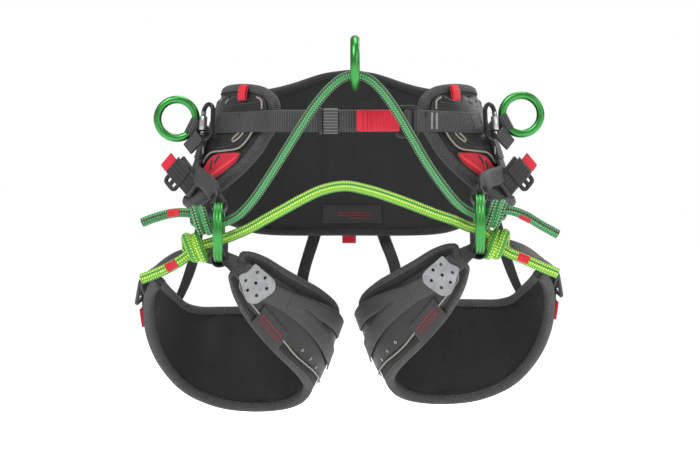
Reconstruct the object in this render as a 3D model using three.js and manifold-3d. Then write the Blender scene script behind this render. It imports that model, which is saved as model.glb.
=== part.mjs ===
// A tree climbing saddle, as it sits on its wearer: a padded waist belt, two leg loops, metal rings, two rope
// bridges with stopper knots, adjusters and webbing. Millimetres, +Z up, the wearer faces -Y, so +X is the
// wearer's left. The origin is the middle of the waist, at the height of the front strap.
import * as THREE from "three";
import { mergeVertices } from "three/addons/utils/BufferGeometryUtils.js";
import Module from "manifold-3d";

const wasm = await Module();
wasm.setup();

// ---- Driving dimensions ----
const GAP = 0.6; // between layers that lie on each other
const WEBBING = 25; // width of the webbing
const WEBBING_THICKNESS = 1.8;

// Waist: an oval cone, wider towards the hips. Sizes are those of its inner face at the origin's height.
const WAIST_HALF_WIDTH = 150;
const WAIST_HALF_DEPTH = 122;
const SIDE_FLARE = 0.36; // growth of the half width per mm down
const DEPTH_FLARE = 0.1;
const PAD = 11; // thickness of the waist padding
const SHELL = 1.8; // thickness of the laminate on it
const SHELL_FLOOR = PAD + GAP;
const STRAP_FLOOR = SHELL_FLOOR + SHELL + GAP;

// The belt's edges, as [degrees from the middle of the back, height].
const BACK_TOP = [[0, 68.5], [14, 63.5], [30, 50.5], [41, 43.5], [55, 38.5], [72, 36.5]];
const BACK_BOTTOM = [[0, -131], [25, -131], [36, -128], [46, -120], [60, -110], [72, -104]];
const WING_TOP = [[73, 36.5], [90, 37], [110, 38.5], [125, 38.5], [135, 36], [141, 31], [145.5, 23], [148.3, 10]];
const WING_BOTTOM = [[73, -103.5], [90, -97], [108, -100], [120, -90], [130, -74], [137, -58], [143, -38], [148.3, -8]];
const WING_SHELL_TOP = [[82, 21], [105, 25], [125, 30], [136, 29], [141, 25], [144.5, 16]];
const WING_SHELL_BOTTOM = [[82, -66], [105, -58], [118, -41], [132, -33], [138.5, -16], [144.5, 2]];

// Rings, as the radius of the wire's centre and the wire's own radius.
const SIDE_RING = { radius: 22.2, wire: 4.6 };
const BRIDGE_RING = { radius: 25.9, wire: 5.3 };
// The front rings are turned from plate, with three ridges round the outside.
const FRONT_RING = { outer: 35.3, inner: 25.5, width: 12, groove: 1.3 };
const FRONT_RING_X = 147;
const FRONT_RING_Y = -112;

// Rope diameters
const UPPER_ROPE = 10.5;
const LOWER_ROPE = 12;

// Leg pads: the upper and lower edge of the wearer's right pad, from the outer buckle, behind the thigh, to the
// front ring. Points with the same number face each other across the pad.
const LEG_PAD = 9;
const LEG_SHELL_FLOOR = LEG_PAD + 1;
const LEG_STRAP_FLOOR = LEG_SHELL_FLOOR + 1.6 + 2.4;
const LEG_UPPER = [
  [-219, -36, -180], [-215, 12, -190], [-209, 46, -200], [-198, 74, -213], [-181, 93, -219], [-158, 105, -220],
  [-126, 110, -220], [-90, 106, -220], [-56, 92, -221], [-30, 66, -222], [-16, 32, -221], [-20, -2, -208],
  [-35, -34, -194], [-55, -60, -182], [-75, -80, -170], [-94, -94, -158], [-110, -103, -152], [-122, -108, -152],
];
const LEG_LOWER = [
  [-223, -41, -186], [-234, -22, -200], [-238, 0, -221], [-236, 26, -253], [-223, 47, -287], [-197, 62, -318],
  [-160, 70, -336], [-121, 73, -342], [-83, 70, -340], [-60, 57, -331], [-50, 37, -316], [-54, 9, -302],
  [-66, -17, -287], [-84, -41, -268], [-102, -61, -247], [-119, -79, -223], [-131, -94, -198], [-136, -103, -176],
];
const LEG_CROWN = 5; // how far the pad bows out between its edges

const sides = [
  { name: "right", s: -1, frontRingZ: -127, sideRingZ: 3 },
  { name: "left", s: 1, frontRingZ: -118, sideRingZ: 8 },
];

const COLOURS = {
  pad: 0x3a3a3c, shell: 0x1d1d1f, webbing: 0x3c3d40, red: 0xe3123f, green: 0x3fa845, steel: 0x8b8d90,
  plastic: 0x2b2c2e, plate: 0x9a9c9c, upperRope: 0x5fae72, lowerRope: 0x93c93c, elastic: 0x38383a,
};
const MATERIALS = {};
for (const [name, color] of Object.entries(COLOURS)) {
  const metal = name === "green" || name === "steel";
  MATERIALS[name] = new THREE.MeshStandardMaterial({
    color,
    roughness: metal ? 0.35 : 0.85,
    metalness: metal ? 0.8 : 0,
  });
}

const saddle = new THREE.Group();

function add(name, geometry, material) {
  const mesh = new THREE.Mesh(geometry, MATERIALS[material]);
  mesh.name = name;
  saddle.add(mesh);
  return mesh;
}

// ---- Geometry helpers ----
const vec = (x, y, z) => new THREE.Vector3(x, y, z);
const lerp = (a, b, t) => a + (b - a) * t;

// A smooth curve through [x, value] pairs, read at x.
function along(pairs, x) {
  const last = pairs.length - 1;
  let i = 0;
  while (i < last - 1 && x > pairs[i + 1][0]) i += 1;
  const [x0, y0] = pairs[i];
  const [x1, y1] = pairs[i + 1];
  const slope = (k) => {
    const a = pairs[Math.max(k - 1, 0)];
    const b = pairs[Math.min(k + 1, last)];
    return (b[1] - a[1]) / (b[0] - a[0]);
  };
  const w = x1 - x0;
  const t = Math.min(Math.max((x - x0) / w, 0), 1);
  const t2 = t * t;
  const t3 = t2 * t;
  const start = (2 * t3 - 3 * t2 + 1) * y0 + (t3 - 2 * t2 + t) * w * slope(i);
  return start + (3 * t2 - 2 * t3) * y1 + (t3 - t2) * w * slope(i + 1);
}

function curveThrough(points) {
  return new THREE.CatmullRomCurve3(points.map((p) => (p.isVector3 ? p : vec(...p))), false, "catmullrom", 0.5);
}

function closedMesh(points, faces) {
  const volume = faces.reduce((sum, [a, b, c]) => {
    const cross = vec(0, 0, 0).crossVectors(points[b], points[c]);
    return sum + points[a].dot(cross);
  }, 0);
  const index = faces.flatMap(([a, b, c]) => (volume > 0 ? [a, b, c] : [a, c, b]));
  return new THREE.BufferGeometry().setFromPoints(points).setIndex(index);
}

// A closed plate. place(u, v, k) gives a point of its face k, 0 or 1, for u and v from 0 to 1. A loop joins its
// two ends in u, as a strap sewn into a ring does.
function plate(nu, nv, place, loop = false) {
  const points = [];
  const faces = [];
  const rows = loop ? nu : nu + 1;
  const at = (k, i, j) => (k * rows + (i % rows)) * (nv + 1) + j;
  const quad = (a, b, c, d) => faces.push([a, b, c], [a, c, d]);
  for (let k = 0; k < 2; k += 1)
    for (let i = 0; i < rows; i += 1)
      for (let j = 0; j <= nv; j += 1) points.push(place(i / nu, j / nv, k));
  for (let i = 0; i < nu; i += 1) {
    for (let j = 0; j < nv; j += 1) {
      quad(at(1, i, j), at(1, i + 1, j), at(1, i + 1, j + 1), at(1, i, j + 1));
      quad(at(0, i, j), at(0, i, j + 1), at(0, i + 1, j + 1), at(0, i + 1, j));
    }
    quad(at(0, i, 0), at(0, i + 1, 0), at(1, i + 1, 0), at(1, i, 0));
    quad(at(0, i, nv), at(1, i, nv), at(1, i + 1, nv), at(0, i + 1, nv));
  }
  if (!loop)
    for (let j = 0; j < nv; j += 1) {
      quad(at(0, 0, j), at(1, 0, j), at(1, 0, j + 1), at(0, 0, j + 1));
      quad(at(0, nu, j), at(0, nu, j + 1), at(1, nu, j + 1), at(1, nu, j));
    }
  return closedMesh(points, faces);
}

// A strap: stations are [point, normal] pairs, and the strap lies across them, square to the normals.
function strap(stations, { width = WEBBING, thickness = WEBBING_THICKNESS, steps = 16, across = 1 } = {}) {
  const middle = new THREE.CatmullRomCurve3(stations.map((q) => q[0]), false, "centripetal");
  const count = stations.length - 1;
  return plate(steps, across, (u, v, k) => {
    const tangent = middle.getTangent(u);
    const station = Math.min(Math.floor(u * count), count - 1);
    const turned = stations[station][1].clone().lerp(stations[station + 1][1], u * count - station);
    const side = vec(0, 0, 0).crossVectors(tangent, turned).normalize();
    const normal = vec(0, 0, 0).crossVectors(side, tangent).normalize();
    const p = middle.getPoint(u).addScaledVector(side, (v - 0.5) * width);
    return p.addScaledVector(normal, (k - 0.5) * thickness);
  });
}

function toSolid(geometry) {
  const bare = geometry.clone();
  bare.deleteAttribute("normal");
  bare.deleteAttribute("uv");
  const merged = mergeVertices(bare, 1e-3);
  return new wasm.Manifold(
    new wasm.Mesh({
      numProp: 3,
      vertProperties: merged.getAttribute("position").array,
      triVerts: new Uint32Array(merged.index.array),
    }),
  );
}

function toGeometry(solid) {
  const { vertProperties, triVerts } = solid.getMesh();
  return new THREE.BufferGeometry()
    .setAttribute("position", new THREE.BufferAttribute(vertProperties, 3))
    .setIndex(new THREE.BufferAttribute(triVerts, 1));
}

const join = (...geometries) => toGeometry(geometries.map(toSolid).reduce((a, b) => a.add(b)));
const cut = (geometry, ...tools) => toGeometry(tools.map(toSolid).reduce((a, b) => a.subtract(b), toSolid(geometry)));

// A frame with its own X, Y and Z along the given directions, for pieces that sit on a slanting face.
function seat(geometry, origin, normal, up) {
  const z = normal.clone().normalize();
  const x = vec(0, 0, 0).crossVectors(up, z).normalize();
  const y = vec(0, 0, 0).crossVectors(z, x);
  return geometry.applyMatrix4(new THREE.Matrix4().makeBasis(x, y, z).setPosition(origin));
}

function roundedRectangle(width, height, radius, target = new THREE.Shape()) {
  const x = width / 2;
  const y = height / 2;
  target.moveTo(-x + radius, -y);
  target.lineTo(x - radius, -y).quadraticCurveTo(x, -y, x, -y + radius);
  target.lineTo(x, y - radius).quadraticCurveTo(x, y, x - radius, y);
  target.lineTo(-x + radius, y).quadraticCurveTo(-x, y, -x, y - radius);
  target.lineTo(-x, -y + radius).quadraticCurveTo(-x, -y, -x + radius, -y);
  return target;
}

// An adjuster frame lying flat: a rounded plate with slots across it, at the given distances from its middle.
function buckleFrame({ width, height, thickness, slot, slots }) {
  const shape = roundedRectangle(width, height, 5);
  for (const y of slots) {
    const hole = new THREE.Path();
    const half = (width - 8) / 2;
    hole.moveTo(-half, y - slot / 2).lineTo(-half, y + slot / 2);
    hole.lineTo(half, y + slot / 2).lineTo(half, y - slot / 2).closePath();
    shape.holes.push(hole);
  }
  const options = { depth: thickness, bevelEnabled: false, curveSegments: 3 };
  return new THREE.ExtrudeGeometry(shape, options).translate(0, 0, -thickness / 2);
}

function ropeTube(points, diameter, stepsPerPoint = 2) {
  const shape = new THREE.Shape().absarc(0, 0, diameter / 2, 0, Math.PI * 2);
  const steps = (points.length - 1) * stepsPerPoint;
  return new THREE.ExtrudeGeometry(shape, {
    steps,
    curveSegments: 4,
    bevelEnabled: false,
    extrudePath: curveThrough(points),
  });
}

// ---- Waist belt ----
// A point of the belt at so many degrees round from the middle of the back, and at height z, h above its inner face.
function beltPoint(degrees, z, h) {
  const angle = THREE.MathUtils.degToRad(degrees);
  const a = WAIST_HALF_WIDTH - SIDE_FLARE * z + h;
  const b = WAIST_HALF_DEPTH - DEPTH_FLARE * z + h;
  return vec(a * Math.sin(angle), b * Math.cos(angle), z);
}

function beltNormal(degrees, z, h) {
  const step = 0.5;
  const round = beltPoint(degrees + step, z, h).sub(beltPoint(degrees - step, z, h));
  const up = beltPoint(degrees, z + step, h).sub(beltPoint(degrees, z - step, h));
  return vec(0, 0, 0).crossVectors(up, round).normalize();
}

const onBelt = (degrees, z, h) => [beltPoint(degrees, z, h), beltNormal(degrees, z, h)];

// A layer of the belt between two edges, from one angle to another; s is the side, and floor the height it lies at.
function beltLayer({ from, to, top, bottom, floor, thickness, s = 1, nu, nv = 4 }) {
  return plate(nu, nv, (u, v, k) => {
    const degrees = lerp(from, to, u);
    const z = lerp(along(bottom, Math.abs(degrees)), along(top, Math.abs(degrees)), v);
    return beltPoint(s * degrees, z, floor + k * thickness);
  });
}

const inset = (edge, by) => edge.map(([degrees, z]) => [degrees, z + by]);

add("back_pad", beltLayer({
  from: -72, to: 72, top: BACK_TOP, bottom: BACK_BOTTOM, floor: 0, thickness: PAD, nu: 25, nv: 4,
}), "pad");
add("back_shell", beltLayer({
  from: -69, to: 69, top: inset(BACK_TOP, -15), bottom: inset(BACK_BOTTOM, 17), floor: SHELL_FLOOR,
  thickness: SHELL, nu: 24, nv: 3,
}), "shell");
const BACK_WEBBING = { reach: 94, width: 44, middle: [[0, -34], [40, -38], [70, -48], [94, -56]] };
add("back_webbing", beltLayer({
  from: -BACK_WEBBING.reach, to: BACK_WEBBING.reach,
  top: inset(BACK_WEBBING.middle, BACK_WEBBING.width / 2), bottom: inset(BACK_WEBBING.middle, -BACK_WEBBING.width / 2),
  floor: STRAP_FLOOR, thickness: WEBBING_THICKNESS, nu: 33, nv: 1,
}), "webbing");
const TAIL_LOOP = { width: 17, top: -117, bottom: -141, floor: PAD + GAP, thickness: 4 };
add("tail_loop", plate(1, 1, (u, v, k) => {
  const x = (u - 0.5) * TAIL_LOOP.width;
  const y = beltPoint(0, TAIL_LOOP.top, TAIL_LOOP.floor).y + 3 + k * TAIL_LOOP.thickness;
  return vec(x, y, lerp(TAIL_LOOP.bottom, TAIL_LOOP.top, v));
}), "red");

for (const { name, s } of sides) {
  add(`${name}_wing_pad`, beltLayer({
    from: 73, to: 148.3, top: WING_TOP, bottom: WING_BOTTOM, floor: 0, thickness: PAD, s, nu: 16, nv: 4,
  }), "pad");
  add(`${name}_wing_shell`, beltLayer({
    from: 82, to: 144.5, top: WING_SHELL_TOP, bottom: WING_SHELL_BOTTOM, floor: SHELL_FLOOR, thickness: SHELL, s,
    nu: 14, nv: 3,
  }), "shell");

  // The leaf-shaped patch: its lower and upper edge, from its tip, as [degrees, height].
  const lower = curveThrough([[135.8, -39.5, 0], [131.5, -54, 0], [125.5, -69, 0]]);
  const upper = curveThrough([[135.6, -38, 0], [126, -43.5, 0], [118.5, -54, 0]]);
  add(`${name}_wing_patch`, plate(5, 2, (u, v, k) => {
    const at = lower.getPoint(u).lerp(upper.getPoint(u), v);
    return beltPoint(s * at.x, at.y, SHELL_FLOOR + k * 2.2);
  }), "red");

  // A folded loop of red webbing at the top of the wing, square to the belt
  const [loopPlace, loopNormal] = onBelt(s * 129, 32.5, SHELL_FLOOR + SHELL + 3.6);
  add(`${name}_tool_loop`, seat(new THREE.BoxGeometry(13, 14, 4), loopPlace, loopNormal, vec(0, 0, 1)), "red");
}

// ---- Front strap, its keeper and its buckle ----
const STRAP_Z = -3.5;
const strapHeight = STRAP_FLOOR + WEBBING_THICKNESS / 2;
const BUCKLE = { x: 65, y: -144, width: 37, height: 27, thickness: 4.5 };
const frontNormal = vec(0, -1, 0);
const strapStations = (s) => [
  ...[112, 122, 132, 140].map((degrees) => onBelt(s * degrees, STRAP_Z + 1, strapHeight)),
  [vec(s * 82, -129, STRAP_Z + 0.5), vec(s * 0.3, -1, 0)],
];
add("front_strap_right", strap([
  ...strapStations(-1),
  [vec(-50, -138, STRAP_Z), frontNormal],
  [vec(-10, -140, STRAP_Z), frontNormal],
  [vec(30, -140, STRAP_Z), frontNormal],
  [vec(BUCKLE.x - 3, -140, STRAP_Z), frontNormal],
], { steps: 22 }), "webbing");
add("front_strap_left", strap([
  ...strapStations(1),
  [vec(BUCKLE.x + 8, -138.5, STRAP_Z), vec(0.1, -1, 0)],
], { steps: 12 }), "webbing");
add("strap_keeper", cut(
  new THREE.BoxGeometry(5, 7.5, 30).translate(-31, -139.2, STRAP_Z),
  new THREE.BoxGeometry(9, 5, 27).translate(-31, -139.2, STRAP_Z),
), "plastic");
add("front_buckle", seat(buckleFrame({
  width: BUCKLE.width, height: BUCKLE.height, thickness: BUCKLE.thickness, slot: 7, slots: [-6.5, 5.5],
}), vec(BUCKLE.x, BUCKLE.y, STRAP_Z - 1), vec(0, -1, 0), vec(1, 0, 0)), "plastic");
add("front_pull_tab", new THREE.BoxGeometry(47, 2.6, WEBBING - 1).translate(32.5, -148.4, STRAP_Z), "red");

// ---- Rings and the webbing that holds them ----
// A webbing loop round a ring's wire, for a ring about the X axis: middle is where on the ring it sits, from the top
// towards the front, and arc how far it reaches along the ring, both in degrees.
function ringSleeve({ radius, middle, arc, inner, thickness }) {
  return plate(10, 2, (u, v, k) => {
    const psi = u * Math.PI * 2;
    const beta = THREE.MathUtils.degToRad(middle + (v - 0.5) * arc);
    const r = inner + k * thickness;
    const out = radius + r * Math.cos(psi);
    return vec(r * Math.sin(psi), -out * Math.sin(beta), out * Math.cos(beta));
  }, true);
}

// The place on such a ring's wire, or beyond it, at an angle from the top towards the front
function roundRing(centre, radius, degrees) {
  const beta = THREE.MathUtils.degToRad(degrees);
  return centre.clone().add(vec(0, -radius * Math.sin(beta), radius * Math.cos(beta)));
}

function frontRingSection() {
  const { outer, inner, width, groove } = FRONT_RING;
  const w = width / 2;
  const ridge = width / 6;
  const points = [
    [inner, -w + 2], [inner + 2, -w], [outer - 1.5, -w], [outer, -ridge - 1],
    [outer - groove, -ridge], [outer, -ridge + 1], [outer, ridge - 1], [outer - groove, ridge],
    [outer, ridge + 1], [outer - 1.5, w], [inner + 2, w], [inner, w - 2],
  ];
  return [...points, points[0]].map(([x, y]) => new THREE.Vector2(x, y));
}

const SLEEVE = { radius: (FRONT_RING.outer + FRONT_RING.inner) / 2, inner: 7.6, thickness: WEBBING_THICKNESS };
const SLEEVE_REACH = SLEEVE.radius + SLEEVE.inner + WEBBING_THICKNESS / 2;
// Where the hip strap and the two leg straps lie on the front ring, from the top towards the front
const HIP_STRAP_ANGLE = -10;
const LEG_STRAP_ANGLE = 168;
const OUTER_STRAP_ANGLE = -125;

// The side ring stands out from the hip. Its webbing loop holds it on the wearer's side, a little below the middle.
const SIDE_RING_X = 199;
const SIDE_RING_Y = -47;
const LOOP_ANGLE = 27;
const ADJUSTER = { x: 187, y: -42, z: -64.5 };
const LINK = { x: 162, y: -67, z: -1, length: 40, width: 19, wire: 2.6, lean: 4 };

function stadium(length, width) {
  const path = new THREE.CurvePath();
  const r = width / 2;
  const h = length / 2 - r;
  const points = [];
  const corners = 8;
  for (let i = 0; i <= corners; i += 1) {
    const angle = (i / corners) * Math.PI;
    points.push(vec(r * Math.cos(angle), h + r * Math.sin(angle), 0));
  }
  for (let i = 0; i <= corners; i += 1) {
    const angle = Math.PI + (i / corners) * Math.PI;
    points.push(vec(r * Math.cos(angle), -h + r * Math.sin(angle), 0));
  }
  return new THREE.CatmullRomCurve3(points, true, "catmullrom", 0.5);
}

for (const { name, s, frontRingZ, sideRingZ } of sides) {
  // Side ring, in the XZ plane. Its loop is made round the top of a ring about X, then laid over into place.
  const side = vec(s * SIDE_RING_X, SIDE_RING_Y, sideRingZ);
  const torus = new THREE.TorusGeometry(SIDE_RING.radius, SIDE_RING.wire, 8, 24);
  add(`${name}_side_ring`, torus.rotateX(Math.PI / 2).translate(side.x, side.y, side.z), "green");
  const loop = ringSleeve({
    radius: SIDE_RING.radius, middle: 0, arc: 30, inner: SIDE_RING.wire + 1.3, thickness: WEBBING_THICKNESS,
  });
  const laid = THREE.MathUtils.degToRad(-s * (90 + LOOP_ANGLE));
  loop.rotateZ(Math.PI / 2).rotateY(laid).translate(side.x, side.y, side.z);
  const inward = vec(-s * Math.cos(THREE.MathUtils.degToRad(LOOP_ANGLE)), 0, -Math.sin(THREE.MathUtils.degToRad(LOOP_ANGLE)));
  const loopEnd = side.clone().addScaledVector(inward, SIDE_RING.radius + SIDE_RING.wire + 1.3 + 0.9);
  add(`${name}_side_ring_loop`, join(loop, strap([
    [loopEnd, vec(0, -1, 0)],
    [loopEnd.clone().addScaledVector(inward, 5).add(vec(0, -1, -1)), vec(s * 0.4, -0.9, 0)],
    onBelt(s * 111, -22, STRAP_FLOOR + 4.4),
    onBelt(s * 113, -32, STRAP_FLOOR + 4.2),
  ], { width: 13, steps: 6 })), "webbing");

  // The oval link and its screw sleeve
  const linkPlace = vec(s * LINK.x, LINK.y, LINK.z);
  const linkNormal = vec(s * 0.8, -0.6, 0.1);
  const linkUp = vec(s * 0.1, 0, 1);
  const circle = new THREE.Shape().absarc(0, 0, LINK.wire, 0, Math.PI * 2);
  add(`${name}_quick_link`, seat(linkSolid(circle), linkPlace, linkNormal, linkUp), "plastic");
  const nut = new THREE.LatheGeometry([
    [LINK.wire + 0.9, -8], [LINK.wire + 2.4, -8], [LINK.wire + 2.4, 8], [LINK.wire + 0.9, 8], [LINK.wire + 0.9, -8],
  ].map(([x, y]) => new THREE.Vector2(x, y)), 6);
  const legX = (LINK.width / 2) * s;
  add(`${name}_link_sleeve`, seat(nut.translate(legX, -1, 0), linkPlace, linkNormal, linkUp), "steel");

  // Front ring, about X, and the hip strap that it hangs in
  const front = vec(s * FRONT_RING_X, FRONT_RING_Y, frontRingZ);
  const ring = new THREE.LatheGeometry(frontRingSection(), 26);
  add(`${name}_front_ring`, ring.rotateZ(Math.PI / 2).translate(front.x, front.y, front.z), "green");
  const hipSleeve = ringSleeve({ ...SLEEVE, middle: HIP_STRAP_ANGLE, arc: 36 }).translate(front.x, front.y, front.z);
  const outward = vec(s, 0, 0);
  const hipHeight = STRAP_FLOOR + 1.2;
  add(`${name}_hip_strap`, join(hipSleeve, strap([
    onBelt(s * 106, -14, hipHeight),
    onBelt(s * 108, -34, hipHeight),
    onBelt(s * 113, -50, hipHeight),
    [beltPoint(s * 121, -60, hipHeight + 4), vec(s * 0.9, -0.4, 0.1)],
    [roundRing(front, SLEEVE_REACH + 9, HIP_STRAP_ANGLE).add(vec(s * 3, 3, 0)), outward],
    [roundRing(front, SLEEVE_REACH, HIP_STRAP_ANGLE), outward],
  ], { width: 21, steps: 14 })), "webbing");

  // The adjuster at the hip lies on its own plane, turned part way to the front: folded webbing, its frame, the red tab
  const run = vec(-s * 0.577, -0.433, -0.693);
  const face = vec(s * 0.529, -0.845, 0.088);
  const onAdjuster = (t, w, h) => vec(s * ADJUSTER.x, ADJUSTER.y, ADJUSTER.z)
    .addScaledVector(run, t).addScaledVector(vec(s * 0.624, 0.316, -0.717), w).addScaledVector(face, h);
  add(`${name}_hip_adjuster_webbing`, strap([
    [onAdjuster(-20, 0, -0.5), face], [onAdjuster(-7, 0, 0.6), face], [onAdjuster(8, 0, 2), face], [onAdjuster(21, -2, 6.5), face],
  ], { thickness: 5, width: 26, steps: 6 }), "webbing");
  const frame = buckleFrame({ width: 36, height: 22, thickness: 4, slot: 5, slots: [-5, 5] });
  add(`${name}_hip_buckle`, seat(frame, onAdjuster(-8, 5.8, 6.2), face, run), "plastic");
  add(`${name}_hip_pull_tab`, seat(new THREE.BoxGeometry(20, 13, 4), onAdjuster(-27.3, 3.9, 6.2), face, run), "red");
}

function linkSolid(circle) {
  const outline = stadium(LINK.length, LINK.width);
  const steps = 24;
  const around = 6;
  return plateRing(outline, steps, around, LINK.wire);
}

// A closed wire of round section along a flat closed curve
function plateRing(curve, steps, around, radius) {
  const points = [];
  const faces = [];
  for (let i = 0; i < steps; i += 1) {
    const p = curve.getPoint(i / steps);
    const t = curve.getTangent(i / steps);
    const side = vec(0, 0, 0).crossVectors(t, vec(0, 0, 1)).normalize();
    for (let j = 0; j < around; j += 1) {
      const a = (j / around) * Math.PI * 2;
      points.push(p.clone().addScaledVector(side, radius * Math.cos(a)).add(vec(0, 0, radius * Math.sin(a))));
    }
  }
  const at = (i, j) => (i % steps) * around + (j % around);
  for (let i = 0; i < steps; i += 1)
    for (let j = 0; j < around; j += 1) {
      faces.push([at(i, j), at(i + 1, j), at(i + 1, j + 1)], [at(i, j), at(i + 1, j + 1), at(i, j + 1)]);
    }
  return closedMesh(points, faces);
}

// ---- Rope bridges ----
// Each runs from a knot outside one front ring to a knot outside the other; hand-set route points.
const UPPER_SPAN = [
  [-155.5, -112, -117], [-147, -112, -117.5], [-136, -118, -115], [-122.5, -128, -107.5], [-107.4, -140, -92],
  [-91.4, -150, -69.7], [-73.4, -158, -42], [-54.4, -164, -12.3], [-36.6, -168, 14], [-21, -170, 32],
  [-6.6, -171, 43], [6.6, -171, 46], [19.9, -171, 43], [34.3, -170, 31], [51, -168, 8.5], [68.8, -164, -21.2],
  [86.7, -158, -51], [104.8, -150, -76.4], [120.9, -138, -95], [134, -124, -104], [145.7, -112, -107.5],
  [153.5, -112, -107],
];
const LOWER_SPAN = [
  [-163.5, -102, -142], [-149.6, -102, -138], [-132.2, -112, -132], [-111.4, -124, -123.2], [-90.8, -134, -112],
  [-70.5, -141, -101], [-50.2, -146, -90], [-30, -149, -81], [-4.5, -151, -76.4], [21.2, -149, -81],
  [45.8, -146, -88.6], [70.5, -141, -97.5], [95.3, -134, -107], [118, -124, -114.5], [134.4, -112, -121.5],
  [146.2, -103, -124.5], [153.5, -102, -127],
];
// Knots: the middle and half sizes of each, and the route of the tail that leaves it
const KNOTS = {
  upper_right: {
    middle: [-168.5, -113, -113], half: [12.3, 11.5, 14.5], rope: UPPER_ROPE,
    tail: [[-172, -111, -108], [-182, -110, -106], [-200, -108, -106.5], [-219.6, -106, -111.5], [-235.6, -104, -117.5]],
  },
  upper_left: {
    middle: [166, -113, -107], half: [12, 11.5, 14], rope: UPPER_ROPE,
    tail: [[170, -111, -103], [180, -110, -103], [198, -108, -108.5], [217.3, -106, -119.8], [237.9, -104, -131]],
  },
  lower_right: {
    middle: [-178, -101, -146.5], half: [14, 12.5, 15.5], rope: LOWER_ROPE,
    tail: [[-180, -101, -153], [-191.6, -101, -160.6], [-207.6, -100, -169.6], [-223.5, -99, -176.5], [-237.2, -98, -181.6]],
  },
  lower_left: {
    middle: [171, -101, -140], half: [13.5, 12.5, 15], rope: LOWER_ROPE,
    tail: [[172, -101, -146], [183, -101, -152], [198.5, -100, -158.3], [219, -99, -167.4], [238.4, -98, -175.3]],
  },
};
add("upper_bridge", ropeTube(UPPER_SPAN, UPPER_ROPE), "upperRope");
add("lower_bridge", ropeTube(LOWER_SPAN, LOWER_ROPE), "lowerRope");
for (const [name, { middle, half, rope, tail }] of Object.entries(KNOTS)) {
  const body = new THREE.SphereGeometry(1, 10, 7).scale(...half).translate(...middle);
  const material = name.startsWith("upper") ? "upperRope" : "lowerRope";
  add(`${name}_knot`, join(body, ropeTube(tail, rope, 3)), material);
}
const BRIDGE_RING_PLACE = [6.6, -171, 58.8];
const bridgeRing = new THREE.TorusGeometry(BRIDGE_RING.radius, BRIDGE_RING.wire, 8, 24).rotateY(Math.PI / 2);
add("bridge_ring", bridgeRing.translate(...BRIDGE_RING_PLACE), "green");

// ---- Leg loops ----
// A point of the wearer's right leg pad: u along it from the outer buckle, v down across it, h above its inner face.
const upperEdge = curveThrough(LEG_UPPER);
const lowerEdge = curveThrough(LEG_LOWER);
function legMiddle(u, v) {
  return upperEdge.getPoint(u).lerp(lowerEdge.getPoint(u), v);
}

function legNormal(u, v) {
  const step = 0.01;
  const here = Math.min(Math.max(u, step), 1 - step);
  const alongPad = legMiddle(here + step, v).sub(legMiddle(here - step, v));
  const down = lowerEdge.getPoint(here).sub(upperEdge.getPoint(here));
  return vec(0, 0, 0).crossVectors(alongPad, down).normalize();
}

function legPoint(u, v, h) {
  const bow = LEG_CROWN * 4 * v * (1 - v);
  return legMiddle(u, v).addScaledVector(legNormal(u, v), h + bow - LEG_PAD / 2);
}

// The inner thigh wears a laminate shell; its straps and ring plate lie on that.
const SHELL_FROM = 0.56;
const SHELL_TO = 0.955;
const RISER = { width: 15, thickness: 1.6 };

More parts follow.
